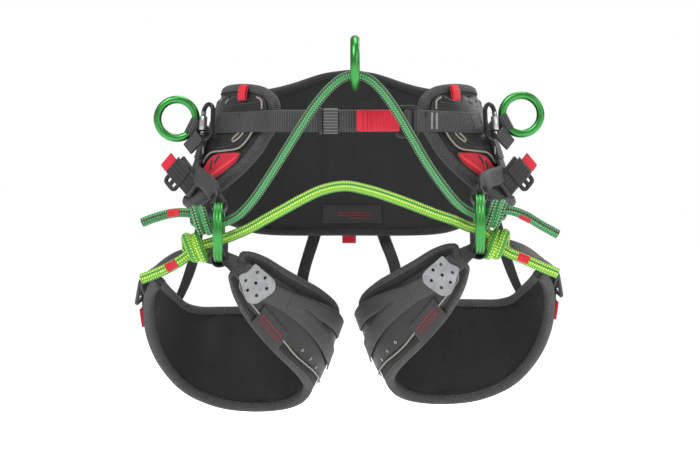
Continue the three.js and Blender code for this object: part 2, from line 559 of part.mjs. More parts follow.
for (const { name, s, frontRingZ } of sides) {
  const drop = frontRingZ - sides[0].frontRingZ;
  const place = (p) => vec(-s * p.x, p.y, p.z + drop);
  const turn = (n) => vec(-s * n.x, n.y, n.z);
  const onLeg = (u, v, h) => [place(legPoint(u, v, h)), turn(legNormal(u, v))];
  const front = vec(s * FRONT_RING_X, FRONT_RING_Y, frontRingZ);
  const outward = vec(s, 0, 0);

  add(`${name}_leg_pad`, plate(34, 3, (u, v, k) => place(legPoint(u, v, k * LEG_PAD))), "pad");
  add(`${name}_leg_shell`, plate(14, 3, (u, v, k) => place(
    legPoint(lerp(SHELL_FROM, SHELL_TO, u), lerp(0.1, 0.9, v), LEG_SHELL_FLOOR + k * 1.6),
  )), "shell");

  // From the front ring, under the ring plate and along the inner thigh
  const legSleeve = ringSleeve({ ...SLEEVE, middle: LEG_STRAP_ANGLE, arc: 38 }).translate(front.x, front.y, front.z);
  add(`${name}_leg_strap`, join(legSleeve, strap([
    [roundRing(front, SLEEVE_REACH, LEG_STRAP_ANGLE), outward],
    [roundRing(front, SLEEVE_REACH + 6, LEG_STRAP_ANGLE).add(vec(-s * 2, -1, 0)), vec(s * 0.8, -0.6, 0)],
    onLeg(0.95, 0.45, LEG_STRAP_FLOOR + 6),
    onLeg(0.88, 0.45, LEG_STRAP_FLOOR + 2),
    onLeg(0.8, 0.42, LEG_STRAP_FLOOR + 1),
    onLeg(0.72, 0.42, LEG_STRAP_FLOOR + 1),
    onLeg(0.64, 0.45, LEG_STRAP_FLOOR + 1),
  ], { steps: 18 })), "webbing");
  const [platePlace, plateNormal] = onLeg(0.895, 0.5, LEG_STRAP_FLOOR + 8);
  add(`${name}_leg_plate`, seat(ringPlate(), platePlace, plateNormal, front.clone().sub(platePlace)), "plate");

  // From the front ring, round the outside of the thigh, to the buckle and its red tab
  const outerSleeve = ringSleeve({ ...SLEEVE, middle: OUTER_STRAP_ANGLE, arc: 42 });
  add(`${name}_leg_outer_strap`, join(outerSleeve.translate(front.x, front.y, front.z), strap([
    [roundRing(front, SLEEVE_REACH, OUTER_STRAP_ANGLE), outward],
    [roundRing(front, SLEEVE_REACH + 6, OUTER_STRAP_ANGLE).add(vec(s * 2, 0, 0)), outward],
    [vec(s * 172, -60, -150 + drop), vec(s * 0.5, -0.3, 0.5)],
    [vec(s * 207, -50, -160 + drop), vec(s * 0.5, -0.3, 0.7)],
    onLeg(0.04, 0.4, LEG_PAD + 8),
    onLeg(0.11, 0.4, LEG_PAD + 4),
  ], { steps: 18 })), "webbing");
  const [bucklePlace, buckleNormal] = onLeg(0.09, 0.45, LEG_PAD + 12);
  const legFrame = buckleFrame({ width: 34, height: 44, thickness: 4, slot: 6, slots: [-11, 11] });
  add(`${name}_leg_buckle`, seat(legFrame, bucklePlace, buckleNormal, vec(0, -0.6, 0.8)), "plastic");
  const [tabPlace, tabNormal] = onLeg(0.16, 0.6, LEG_PAD + 12);
  add(`${name}_leg_pull_tab`, seat(new THREE.BoxGeometry(22, 26, 3.5), tabPlace, tabNormal, vec(0, -0.6, 0.8)), "red");

  // Elastic risers hold the pad up behind
  const riser = (stations) => strap(stations, { ...RISER, steps: 10 });
  add(`${name}_outer_riser`, riser([
    onBelt(s * 60, -96, PAD + 2.6),
    onBelt(s * 60, -112, PAD + 2.6),
    [vec(s * 190, 76, -170 + drop), vec(s * 0.6, 0.8, 0.2)],
    onLeg(0.2, 0.08, LEG_PAD + 2.4),
    onLeg(0.2, 0.25, LEG_PAD + 2.4),
  ]), "elastic");
  add(`${name}_inner_riser`, riser([
    onBelt(s * 15, -118, PAD + 5),
    onBelt(s * 16, -134, PAD + 5),
    [vec(s * 62, 122, -185 + drop), vec(s * 0.2, 0.97, 0.2)],
    onLeg(0.465, 0.1, LEG_PAD + 2.4),
    onLeg(0.465, 0.28, LEG_PAD + 2.4),
  ]), "elastic");
}

function roundHole(x, y, radius, corners = 6) {
  const points = [];
  for (let i = 0; i < corners; i += 1) {
    const angle = (-i / corners) * Math.PI * 2;
    points.push(new THREE.Vector2(x + radius * Math.cos(angle), y + radius * Math.sin(angle)));
  }
  return new THREE.Path(points);
}

// The light plate that carries the leg strap, with seven lightening holes
function ringPlate() {
  const shape = new THREE.Shape();
  shape.moveTo(-11, 22).lineTo(-20, -12).lineTo(-13, -21).lineTo(13, -21).lineTo(20, -12).lineTo(11, 22).closePath();
  const rows = [[-8, 12], [8, 12], [-12, 0], [0, 2], [12, 0], [-7, -12], [7, -12]];
  for (const [x, y] of rows) shape.holes.push(roundHole(x, y, 2.4));
  return new THREE.ExtrudeGeometry(shape, { depth: 1.6, bevelEnabled: false });
}

export default saddle;
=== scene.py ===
"""A tree climbing saddle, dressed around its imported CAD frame.

Everything is worked out in millimetres in the frame's axes (+X the wearer's left, -Y forwards, +Z up) and turned
into metres as each mesh is made. The wearer's right is at negative X.
"""
import math

import bmesh
import bpy
import numpy as np
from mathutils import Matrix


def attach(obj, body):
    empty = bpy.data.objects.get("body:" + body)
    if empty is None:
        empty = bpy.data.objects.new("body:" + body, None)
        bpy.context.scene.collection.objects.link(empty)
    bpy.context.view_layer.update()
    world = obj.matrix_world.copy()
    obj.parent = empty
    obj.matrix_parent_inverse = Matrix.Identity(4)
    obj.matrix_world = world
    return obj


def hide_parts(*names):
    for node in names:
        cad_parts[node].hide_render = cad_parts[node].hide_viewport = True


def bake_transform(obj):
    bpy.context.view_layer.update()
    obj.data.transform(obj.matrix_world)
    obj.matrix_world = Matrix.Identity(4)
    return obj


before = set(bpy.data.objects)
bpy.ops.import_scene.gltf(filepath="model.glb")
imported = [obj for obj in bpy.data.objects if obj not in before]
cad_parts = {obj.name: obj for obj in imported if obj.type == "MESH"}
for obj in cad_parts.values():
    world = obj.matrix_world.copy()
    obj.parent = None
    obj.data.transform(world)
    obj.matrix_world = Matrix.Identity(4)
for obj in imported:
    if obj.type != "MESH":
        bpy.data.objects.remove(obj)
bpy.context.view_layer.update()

MM = 0.001
SIDES = (("right", -1, -127.0, 3.0), ("left", 1, -118.0, 8.0))  # name, sign of X, front ring's z, side ring's z

# ---------------------------------------------------------------- camera
camera = bpy.data.objects.new("camera", bpy.data.cameras.new("camera"))
bpy.context.scene.collection.objects.link(camera)
camera.location = (0.0011, -3.0, -0.1294)
camera.rotation_euler = (math.pi / 2, 0, 0)
camera.data.lens = 131.48
camera.data.sensor_width = 36
bpy.context.scene.camera = camera


# ---------------------------------------------------------------- vectors and curves
def vec(*p):
    return np.array(p, float)


def unit(v):
    v = np.asarray(v, float)
    return v / max(np.linalg.norm(v), 1e-9)


def lerp(a, b, t):
    return a + (b - a) * t


def smooth(points, count, closed=False):
    """count points at even distances along a smooth curve through the given ones."""
    p = np.array(points, float)
    n = len(p)
    dense = []
    spans = n if closed else n - 1
    for i in range(spans):
        if closed:
            a, b, c, d = (p[(i + k) % n] for k in (-1, 0, 1, 2))
        else:
            b, c = p[i], p[i + 1]
            a = p[i - 1] if i else 2 * b - c
            d = p[i + 2] if i + 2 < n else 2 * c - b
        ab, bc, cd = (max(np.linalg.norm((y - x)[:3]), 1e-6) ** 0.5 for x, y in ((a, b), (b, c), (c, d)))
        m1 = (c - b) + bc * ((b - a) / ab - (c - a) / (ab + bc))
        m2 = (c - b) + bc * ((d - c) / cd - (d - b) / (bc + cd))
        for t in np.linspace(0, 1, 16, endpoint=False):
            t2, t3 = t * t, t * t * t
            dense.append((2 * t3 - 3 * t2 + 1) * b + (t3 - 2 * t2 + t) * m1 + (3 * t2 - 2 * t3) * c + (t3 - t2) * m2)
    dense.append(p[0] if closed else p[-1])
    dense = np.array(dense)
    steps = np.r_[0, np.cumsum(np.linalg.norm(np.diff(dense[:, :3], axis=0), axis=1))]
    wanted = np.linspace(0, steps[-1], count, endpoint=not closed)
    return np.stack([np.interp(wanted, steps, dense[:, k]) for k in range(dense.shape[1])], 1)


def tangents(p, closed=False):
    t = (np.roll(p, -1, 0) - np.roll(p, 1, 0)) if closed else np.gradient(p, axis=0)
    return t / np.maximum(np.linalg.norm(t, axis=1, keepdims=True), 1e-9)


def travelled(p):
    return np.r_[0, np.cumsum(np.linalg.norm(np.diff(p, axis=0), axis=1))]


def along(pairs, x):
    """A smooth curve through (x, value) pairs, read at x; the same rule as the CAD part's."""
    last = len(pairs) - 1
    i = 0
    while i < last - 1 and x > pairs[i + 1][0]:
        i += 1

    def slope(k):
        a, b = pairs[max(k - 1, 0)], pairs[min(k + 1, last)]
        return (b[1] - a[1]) / (b[0] - a[0])

    (x0, y0), (x1, y1) = pairs[i], pairs[i + 1]
    w = x1 - x0
    t = min(max((x - x0) / w, 0), 1)
    t2, t3 = t * t, t * t * t
    start = (2 * t3 - 3 * t2 + 1) * y0 + (t3 - 2 * t2 + t) * w * slope(i)
    return start + (3 * t2 - 2 * t3) * y1 + (t3 - t2) * w * slope(i + 1)


# ---------------------------------------------------------------- materials
class Material:
    """A procedural material. Its methods add nodes and return their output sockets."""

    def __init__(self, name, colour, roughness=0.7, metallic=0.0, sheen=0.0, coat=0.0, specular=0.5):
        self.material = bpy.data.materials.new(name)
        self.material.use_nodes = True
        self.tree = self.material.node_tree
        self.shader = self.tree.nodes["Principled BSDF"]
        values = {
            "Base Color": (*colour, 1), "Roughness": roughness, "Metallic": metallic,
            "Specular IOR Level": specular, "Sheen Weight": sheen, "Sheen Roughness": 0.4, "Coat Weight": coat,
        }
        for key, value in values.items():
            self.shader.inputs[key].default_value = value
        self.material.diffuse_color = (*colour, 1)
        self.height = None

    def node(self, kind, **settings):
        n = self.tree.nodes.new("ShaderNode" + kind)
        for key, value in settings.items():
            setattr(n, key, value)
        return n

    def set(self, socket, value):
        if hasattr(value, "node"):
            self.tree.links.new(value, socket)
        else:
            socket.default_value = value

    def math(self, operation, a, b=0.0, c=0.0):
        n = self.node("Math", operation=operation)
        for socket, value in zip(n.inputs, (a, b, c)):
            self.set(socket, value)
        return n.outputs[0]

    def coordinates(self, uv=False):
        return self.node("TexCoord").outputs["UV" if uv else "Object"]

    def split(self, vector):
        n = self.node("SeparateXYZ")
        self.set(n.inputs[0], vector)
        return n.outputs

    def noise(self, scale, detail=3.0, uv=False, roughness=0.5, stretch=None):
        n = self.node("TexNoise")
        where = self.coordinates(uv)
        if stretch:
            mapping = self.node("Mapping")
            mapping.inputs["Scale"].default_value = stretch
            self.set(mapping.inputs[0], where)
            where = mapping.outputs[0]
        self.set(n.inputs["Vector"], where)
        n.inputs["Scale"].default_value = scale
        n.inputs["Detail"].default_value = detail
        n.inputs["Roughness"].default_value = roughness
        return n.outputs[0]

    def cells(self, scale):
        n = self.node("TexVoronoi")
        self.set(n.inputs["Vector"], self.coordinates())
        n.inputs["Scale"].default_value = scale
        return n.outputs["Distance"]

    def steps(self, value, *stops):
        """value read through a ramp of (position, colour or grey) stops."""
        n = self.node("ValToRGB")
        self.set(n.inputs[0], value)
        ramp = n.color_ramp.elements
        ramp[0].position, ramp[1].position = stops[0][0], stops[-1][0]
        for position, _ in stops[1:-1]:
            ramp.new(position)
        for element, (_, colour) in zip(ramp, stops):
            element.color = (*colour, 1) if hasattr(colour, "__len__") else (colour, colour, colour, 1)
        return n.outputs[0]

    def mix(self, amount, a, b):
        n = self.node("Mix", data_type="RGBA")
        for key, value in (("Factor", amount), ("A", a), ("B", b)):
            socket = next(s for s in n.inputs if s.name == key and s.type == ("VALUE" if key == "Factor" else "RGBA"))
            self.set(socket, value if hasattr(value, "node") or key == "Factor" else (*value, 1))
        return next(s for s in n.outputs if s.type == "RGBA")

    def between(self, amount, low, high):
        return self.math("MULTIPLY_ADD", amount, high - low, low)

    def colour(self, value):
        self.set(self.shader.inputs["Base Color"], value)

    def rough(self, value):
        self.set(self.shader.inputs["Roughness"], value)

    def bump(self, height, distance, strength=1.0):
        """height, from 0 to 1, stands distance millimetres proud. Later calls add to earlier ones."""
        n = self.node("Bump")
        n.inputs["Strength"].default_value = strength
        n.inputs["Distance"].default_value = distance * MM
        self.set(n.inputs["Height"], height)
        if self.height is not None:
            self.set(n.inputs["Normal"], self.height)
        self.height = n.outputs[0]
        self.set(self.shader.inputs["Normal"], self.height)

    def wave(self, value, period, phase=0.0):
        """0 to 1 and back, once every period of value."""
        turns = self.math("MULTIPLY_ADD", value, 2 * math.pi / period, phase)
        return self.math("MULTIPLY_ADD", self.math("SINE", turns), 0.5, 0.5)


def knit(name, dark, light, sheen, pile=0.25, mottle=0.35):
    """Lining cloth: a fine knit over foam, with a soft nap."""
    m = Material(name, dark, roughness=0.85, sheen=sheen)
    nap = m.noise(14, 5, roughness=0.62)
    stitch = m.cells(1100)
    shade = m.steps(m.math("ADD", m.math("MULTIPLY", nap, mottle), m.math("MULTIPLY", stitch, 1 - mottle)),
                    (0.22, dark), (0.85, light))
    m.colour(shade)
    m.rough(m.between(nap, 0.72, 0.95))
    m.bump(stitch, pile)
    m.bump(m.noise(60, 3), 0.5, 0.35)
    return m.material


def laminate(name, dark, light):
    """Coated cloth: a tight grain with a little gloss, scuffed here and there."""
    m = Material(name, dark, roughness=0.5, sheen=0.1)
    grain = m.cells(900)
    scuff = m.noise(38, 6, roughness=0.7)
    m.colour(m.steps(m.math("MULTIPLY_ADD", grain, 0.35, m.math("MULTIPLY", scuff, 0.6)), (0.3, dark), (0.8, light)))
    m.rough(m.between(scuff, 0.34, 0.66))
    m.bump(grain, 0.18)
    m.bump(m.noise(120, 4), 0.35, 0.5)
    return m.material


def woven(name, dark, light, rib=1.5, gloss=0.5, sheen=0.04, twill=1.6, bundles=0.25, speckle=0.0):
    """Webbing or tape: ribs across its length, in bundles side by side, with worn and speckled yarn.
    UV is (across, along) in metres."""
    m = Material(name, dark, roughness=gloss, sheen=sheen)
    across, length, _ = m.split(m.coordinates(uv=True))
    bundle = m.wave(across, twill * MM)
    ribs = m.wave(m.math("MULTIPLY_ADD", bundle, 0.22 * rib * MM, length), rib * MM)
    yarn = m.math("MULTIPLY", ribs, m.math("MULTIPLY_ADD", bundle, bundles, 1 - bundles))
    worn = m.noise(45, 4, roughness=0.65)
    shade = m.math("MULTIPLY_ADD", yarn, 0.62, m.math("MULTIPLY", worn, 0.3))
    if speckle:
        shade = m.math("MULTIPLY_ADD", m.math("SUBTRACT", m.noise(420, 2, roughness=0.8), 0.5), speckle * 1.6, shade)
    m.colour(m.steps(shade, (0.16, dark), (0.8, light)))
    m.rough(m.between(worn, gloss - 0.12, gloss + 0.2))
    m.bump(yarn, 0.35)
    m.bump(m.noise(160, 3), 0.25, 0.4)
    return m.material


def moulded(name, colour, light):
    """Moulded plastic: faintly clouded, with a fine texture."""
    gloss = 0.42
    m = Material(name, colour, roughness=gloss)
    cloud = m.noise(55, 5, roughness=0.6)
    m.colour(m.mix(m.steps(cloud, (0.45, 0.0), (0.75, 1.0)), colour, light))
    m.rough(m.between(cloud, gloss - 0.1, gloss + 0.16))
    m.bump(m.noise(1400, 2), 0.06)
    return m.material


GRAIN = (2500, 60, 1)  # how finely the grain of a metal is drawn, across its UV and along it


def metal(name, colour, light, gloss, metallic=1.0):
    """Anodised or bare metal: a fine turned or drawn grain, with handling marks."""
    m = Material(name, colour, roughness=gloss, metallic=metallic)
    marks = m.noise(70, 6, roughness=0.7)
    m.colour(m.mix(m.steps(marks, (0.42, 0.0), (0.72, 1.0)), colour, light))
    m.rough(m.between(marks, gloss - 0.07, gloss + 0.13))
    m.bump(m.noise(1.0, 2, uv=True, stretch=GRAIN), 0.012, 0.35)
    m.bump(marks, 0.03, 0.12)
    return m.material


BRAID_PITCH = 22.0  # mm along a rope for one turn of a strand
CARRIERS = 8  # strands each way round
STRIPE_REPEATS = 2  # times the stripes come round a rope


def braid(name, gap, stripes, ticks, flecks):
    """A rope's braided sheath: strands that cross over and under, with stripes that run along it. Across one repeat,
    stripes are (place, colour) and ticks (place, how strongly the crossing yarns show). UV is (turn, metres).
    gap is the colour of a painted shade, mixed in where the strands dip between each other."""
    m = Material(name, gap, roughness=0.6, sheen=0.05)
    turn, length, _ = m.split(m.coordinates(uv=True))
    run = m.math("MULTIPLY", length, 1000 * CARRIERS / BRAID_PITCH)
    one = m.math("MULTIPLY_ADD", turn, CARRIERS, run)
    two = m.math("MULTIPLY_ADD", turn, -CARRIERS, run)
    over = m.math("ABSOLUTE", m.math("MODULO", m.math("ADD", m.math("FLOOR", one), m.math("FLOOR", two)), 2.0))
    hump = [m.math("SINE", m.math("MULTIPLY", m.math("FRACT", strand), math.pi)) for strand in (one, two)]
    height = m.math("ADD", m.math("MULTIPLY", over, hump[0]),
                    m.math("MULTIPLY", m.math("SUBTRACT", 1.0, over), hump[1]))
    place = m.math("FRACT", m.math("MULTIPLY_ADD", turn, STRIPE_REPEATS, 0.5))
    bands = [m.steps(place, *stops) for stops in (stripes, ticks)]
    for band in bands:
        band.node.color_ramp.interpolation = "CONSTANT"
    tick = m.math("MULTIPLY", over, m.steps(hump[0], (0.4, 0.0), (0.7, 1.0)))
    body = m.mix(m.math("MULTIPLY", tick, bands[1]), bands[0], flecks)
    fibre = m.noise(900, 3)
    # painted shade: the colour darkens towards gap where the strands dip between each other
    m.colour(m.mix(m.steps(height, (0.05, 0.75), (0.45, 0.0)), body, gap))
    m.rough(m.between(fibre, 0.45, 0.8))
    m.bump(height, 0.7)
    m.bump(fibre, 0.15, 0.5)
    return m.material


LINING = knit("lining", (0.0055, 0.0055, 0.006), (0.021, 0.021, 0.0225), sheen=0.1)
VELVET = knit("velvet_lining", (0.002, 0.002, 0.0023), (0.016, 0.016, 0.017), pile=0.4, sheen=0.06, mottle=0.15)
SHELL = laminate("laminate", (0.003, 0.003, 0.0033), (0.011, 0.011, 0.0115))
SPACER = knit("spacer_mesh", (0.003, 0.003, 0.0034), (0.022, 0.022, 0.023), pile=0.6, sheen=0.06, mottle=0.1)
BINDING = woven("binding_tape", (0.014, 0.014, 0.015), (0.09, 0.09, 0.093), rib=2.2, gloss=0.7, speckle=0.7)
DARK_BINDING = woven("dark_binding_tape", (0.006, 0.006, 0.0065), (0.026, 0.026, 0.028), rib=2.2, gloss=0.7,
                     speckle=0.5)
WEBBING = woven("dark_webbing", (0.006, 0.006, 0.0066), (0.075, 0.075, 0.078), rib=2.9, gloss=0.5)
STRIPED = woven("adjuster_webbing", (0.005, 0.005, 0.0055), (0.05, 0.05, 0.052), rib=1.4, gloss=0.45, twill=5.2,
                bundles=0.8)
STRIPED_ROUND = woven("rolled_webbing", (0.008, 0.008, 0.009), (0.12, 0.12, 0.125), rib=2.6, gloss=0.4)
SHINY = woven("shiny_webbing", (0.012, 0.012, 0.013), (0.16, 0.16, 0.165), rib=3.3, gloss=0.36)
ELASTIC = woven("elastic", (0.009, 0.009, 0.0095), (0.04, 0.04, 0.042), rib=1.9, gloss=0.65, speckle=0.4)
RED = woven("red_webbing", (0.5, 0.002, 0.02), (0.88, 0.012, 0.045), rib=1.6, gloss=0.5, sheen=0.05)
PATCH = woven("red_patch", (0.4, 0.002, 0.015), (0.9, 0.015, 0.05), rib=0.9, gloss=0.55)
PATCH_LIGHT = woven("red_patch_band", (0.75, 0.02, 0.035), (1.0, 0.06, 0.08), rib=0.9, gloss=0.5)
PIPING = woven("light_piping", (0.16, 0.145, 0.12), (0.5, 0.47, 0.42), rib=1.2, gloss=0.55)
THREAD = woven("dark_thread", (0.03, 0.03, 0.032), (0.14, 0.14, 0.145), rib=0.6)
LIGHT_THREAD = woven("light_thread", (0.09, 0.09, 0.088), (0.3, 0.3, 0.29), rib=0.6)
WHITE_THREAD = woven("white_thread", (0.3, 0.3, 0.3), (0.75, 0.75, 0.75), rib=0.6)
RED_WOUND = woven("red_whipping", (0.45, 0.003, 0.02), (0.95, 0.03, 0.07), rib=1.1, gloss=0.55)
RED_THREAD = woven("red_thread", (0.4, 0.003, 0.015), (0.8, 0.02, 0.05), rib=0.6)
LABEL = woven("label_cloth", (0.012, 0.012, 0.0125), (0.035, 0.035, 0.036), rib=1.2)
PLASTIC = moulded("black_plastic", (0.008, 0.008, 0.009), (0.035, 0.035, 0.037))
GREEN = metal("green_anodised", (0.055, 0.27, 0.065), (0.075, 0.32, 0.085), gloss=0.34)
BLACK_STEEL = metal("black_steel", (0.012, 0.012, 0.012), (0.05, 0.05, 0.05), gloss=0.35, metallic=0.6)
STEEL = metal("bare_steel", (0.4, 0.4, 0.41), (0.6, 0.6, 0.6), gloss=0.3)
PLATE = metal("grey_plate", (0.2, 0.205, 0.21), (0.3, 0.31, 0.31), gloss=0.3)
# the first colour given to each rope is the painted shade in the dips between its strands
DARK_ROPE = braid("dark_rope", (0.012, 0.03, 0.016), [(0.0, (0.05, 0.034, 0.022)), (0.13, (0.03, 0.2, 0.058)),
                  (0.41, (0.05, 0.034, 0.022)), (0.59, (0.045, 0.29, 0.085)), (0.87, (0.05, 0.034, 0.022))],
                  [(0.0, 0.95), (0.13, 0.25), (0.41, 0.6), (0.59, 0.55), (0.87, 0.95)], (0.2, 0.6, 0.27))
LIGHT_ROPE = braid("light_rope", (0.03, 0.16, 0.02), [(0.0, (0.04, 0.3, 0.04)), (0.14, (0.13, 0.46, 0.035)),
                   (0.44, (0.04, 0.3, 0.06)), (0.56, (0.15, 0.5, 0.04)), (0.86, (0.04, 0.3, 0.04))],
                   [(0.0, 0.2), (0.14, 1.0), (0.44, 0.15), (0.56, 1.0), (0.86, 0.2)], (0.72, 0.86, 0.12))


# ---------------------------------------------------------------- meshes
def build(name, points, faces, material, body=None, stands_for=(), uv=None):
    """An object from millimetre points; uv is one pair per point."""
    mesh = bpy.data.meshes.new(name)
    mesh.from_pydata((np.array(points, float) * MM).tolist(), [], faces)
    work = bmesh.new()
    work.from_mesh(mesh)
    bmesh.ops.recalc_face_normals(work, faces=work.faces)
    work.to_mesh(mesh)
    work.free()
    mesh.materials.append(material)
    mesh.polygons.foreach_set("use_smooth", [True] * len(mesh.polygons))
    if uv is not None:
        layer = mesh.uv_layers.new(name="UVMap")
        corners = np.zeros(len(mesh.loops), np.int32)
        mesh.loops.foreach_get("vertex_index", corners)
        layer.data.foreach_set("uv", np.array(uv, np.float32)[corners].ravel())
    mesh.update()
    obj = bpy.data.objects.new(name, mesh)
    bpy.context.scene.collection.objects.link(obj)
    if body:
        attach(obj, body)
    if stands_for:
        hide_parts(*stands_for)
    return obj


def loft(rings, across=None, closed=False, offset=0):
    """Points, faces and UVs of a skin through rings of points; each ring closes on itself.
    The ends are capped unless the skin is closed."""
    rings = np.array(rings, float)
    n, m = rings.shape[:2]
    distance = travelled(rings.mean(1))
    if across is None:
        across = travelled(np.vstack([rings[0], rings[0][:1]]))[:-1]
    points = rings.reshape(-1, 3)
    uv = np.stack(np.broadcast_arrays(np.array(across)[None, :] * MM, distance[:, None] * MM), -1).reshape(-1, 2)
    faces = []
    for i in range(n if closed else n - 1):
        for j in range(m):
            a, b = i * m + j, i * m + (j + 1) % m
            c, d = ((i + 1) % n) * m + (j + 1) % m, ((i + 1) % n) * m + j
            faces.append((a + offset, d + offset, c + offset, b + offset))
    if not closed:
        faces.append(tuple(j + offset for j in range(m)))
        faces.append(tuple((n - 1) * m + j + offset for j in reversed(range(m))))
    return points, faces, uv


class Shape:
    """Several lofts gathered into one mesh."""

    def __init__(self):
        self.points, self.faces, self.uv, self.count = [], [], [], 0

    def add(self, rings, **kind):
        points, faces, uv = loft(rings, offset=self.count, **kind)
        self.points.append(points)
        self.faces += faces
        self.uv.append(uv)
        self.count += len(points)
        return self

    def build(self, name, material, body=None, stands_for=(), slot=None):
        return build(name, np.vstack(self.points), self.faces, material, body, stands_for, np.vstack(self.uv))


def frames(path, up, closed=False):
    """The sideways and outward directions at each point of a path, from a hint of which way is out."""
    t = tangents(path, closed)
    up = np.broadcast_to(up, path.shape)
    side = np.cross(t, up)
    side /= np.maximum(np.linalg.norm(side, axis=1, keepdims=True), 1e-9)
    return side, np.cross(side, t)


def strap_rings(stations, width, thickness, steps, closed=False):
    """Webbing along stations of (point, outward direction): a flat section with soft edges. width may vary."""
    data = smooth([np.r_[p, unit(n)] for p, n in stations], steps, closed)
    path, up = data[:, :3], data[:, 3:]
    side, out = frames(path, up, closed)
    width = np.interp(np.linspace(0, 1, steps), np.linspace(0, 1, np.size(width)), np.atleast_1d(width))
    half = np.array([-1, -0.9, -0.45, 0, 0.45, 0.9, 1, 0.9, 0.45, 0, -0.45, -0.9])
    lift = np.array([0, 1, 1, 1, 1, 1, 0, -1, -1, -1, -1, -1]) * thickness / 2
    rings = (path[:, None] + side[:, None] * (half[None, :, None] * width[:, None, None] / 2)
             + out[:, None] * lift[None, :, None])
    return rings, half * float(np.mean(width)) / 2


def strap(name, stations, material, body, width=25, thickness=1.9, steps=40, stands_for=(), closed=False, slot=None):
    rings, across = strap_rings(stations, width, thickness, steps, closed)
    return Shape().add(rings, across=across, closed=closed).build(name, material, body, stands_for, slot)


def tube_rings(path, radius, sides, closed=False):
    """Round rings along a path, turned as little as possible from one to the next."""
    path = np.array(path, float)
    t = tangents(path, closed)
    start = unit(np.cross(t[0], (0.3, 0.2, 0.93)))
    normals = [start]
    for k in range(1, len(path)):
        n = normals[-1] - t[k] * np.dot(normals[-1], t[k])
        normals.append(unit(n))
    normals = np.array(normals)
    other = np.cross(t, normals)
    twist = 0.0
    if closed:
        last = normals[-1] - t[0] * np.dot(normals[-1], t[0])
        twist -= math.atan2(np.dot(unit(last), other[0]), np.dot(unit(last), normals[0]))
    radius = np.broadcast_to(radius, len(path))
    angle = np.linspace(0, 2 * math.pi, sides, endpoint=False)[None] + np.linspace(0, twist, len(path))[:, None]
    return path[:, None] + radius[:, None, None] * (np.cos(angle)[..., None] * normals[:, None]
                                                    + np.sin(angle)[..., None] * other[:, None])


def rope(name, path, diameter, material, body, stands_for=(), sides=16):
    """A rope as a tube with rounded ends, whose UV is (turns round it, metres along it)."""
    path = np.array(path, float)
    radius = np.full(len(path), diameter / 2)
    radius[0] = radius[-1] = diameter * 0.3
    path[0] += (path[1] - path[0]) * 0.6
    path[-1] += (path[-2] - path[-1]) * 0.6
    rings = tube_rings(path, radius, sides)
    seam = np.concatenate([rings, rings[:, :1]], 1)
    n, m = seam.shape[:2]
    faces = [(i * m + j, (i + 1) * m + j, (i + 1) * m + j + 1,
              i * m + j + 1) for i in range(n - 1) for j in range(m - 1)]
    faces += [tuple(range(m - 1, 0, -1)), tuple((n - 1) * m + j for j in range(m - 1))]
    turn = np.arange(m) / (m - 1)
    uv = np.stack(np.broadcast_arrays(turn[None], travelled(path)[:, None] * MM), -1).reshape(-1, 2)
    return build(name, seam.reshape(-1, 3), faces, material, body, stands_for, uv)


def bead_rings(p, direction, out, length, width, height):
    """One stitch: a small bead of thread lying along direction."""
    d, o = unit(direction), unit(out)
    s = np.cross(d, o)
    at = np.array([-0.5, -0.3, 0.3, 0.5])
    size = np.array([0.25, 1, 1, 0.25])
    angle = np.linspace(0, 2 * math.pi, 5, endpoint=False)
    sideways, outward = np.cos(angle)[:, None] * s, np.sin(angle)[:, None] * o
    return np.array([p + d * a * length + z * (sideways * width / 2 + outward * height / 2)
                     for a, z in zip(at, size)])


def stitches(shape, path, out, pitch=3.6, length=2.4, width=0.8, height=0.7):
    """A row of stitches along a path; out is the way the cloth faces, one direction or one for each point."""
    path = np.array(path, float)
    count = max(int(travelled(path)[-1] / pitch), 2)
    data = smooth(np.hstack([path, np.broadcast_to(out, path.shape)]), count)
    for p, d, o in zip(data[:, :3], tangents(data[:, :3]), data[:, 3:]):
        shape.add(bead_rings(p, d, o, length, width, height))


def bar_tack(shape, middle, thread, out, width, length, rows):
    """A bar tack: rows of thread of this length, laid side by side over a width."""
    a, o = unit(thread), unit(out)
    s = np.cross(a, o)
    for k in np.linspace(-0.5, 0.5, rows):
        shape.add(bead_rings(middle + s * k * width, a, o, length, width / rows * 0.95, 0.9))


# ---------------------------------------------------------------- rope bridges
UPPER_ROPE, LOWER_ROPE = 10.5, 12.0
UPPER_SPAN = [
    (-165, -113, -115.5), (-155.5, -112, -117), (-147, -112, -117.5), (-136, -118, -115), (-122.5, -128, -107.5),
              (-107.4, -140, -92),
    (-91.4, -150, -69.7), (-73.4, -158, -42), (-54.4, -164, -12.3), (-36.6, -168, 14), (-21, -170, 32),
    (-6.6, -171, 43), (6.6, -171, 46), (19.9, -171, 43), (34.3, -170, 31), (51, -168, 8.5), (68.8, -164, -21.2),
    (86.7, -158, -51), (104.8, -150, -76.4), (120.9, -138, -95), (134, -124, -104), (145.7, -112, -107.5),
    (153.5, -112, -107), (162, -113, -107),
]
LOWER_SPAN = [
    (-172, -101.5, -144.5), (-163.5, -102, -142), (-149.6, -102, -138), (-132.2, -112, -132), (-111.4, -124, -123.2),
              (-90.8, -134, -112),
    (-70.5, -141, -101), (-50.2, -146, -90), (-30, -149, -81), (-4.5, -151, -76.4), (21.2, -149, -81),
    (45.8, -146, -88.6), (70.5, -141, -97.5), (95.3, -134, -107), (118, -124, -114.5), (134.4, -112, -121.5),
    (146.2, -103, -124.5), (153.5, -102, -127),
    (163, -101.5, -134.5),
]
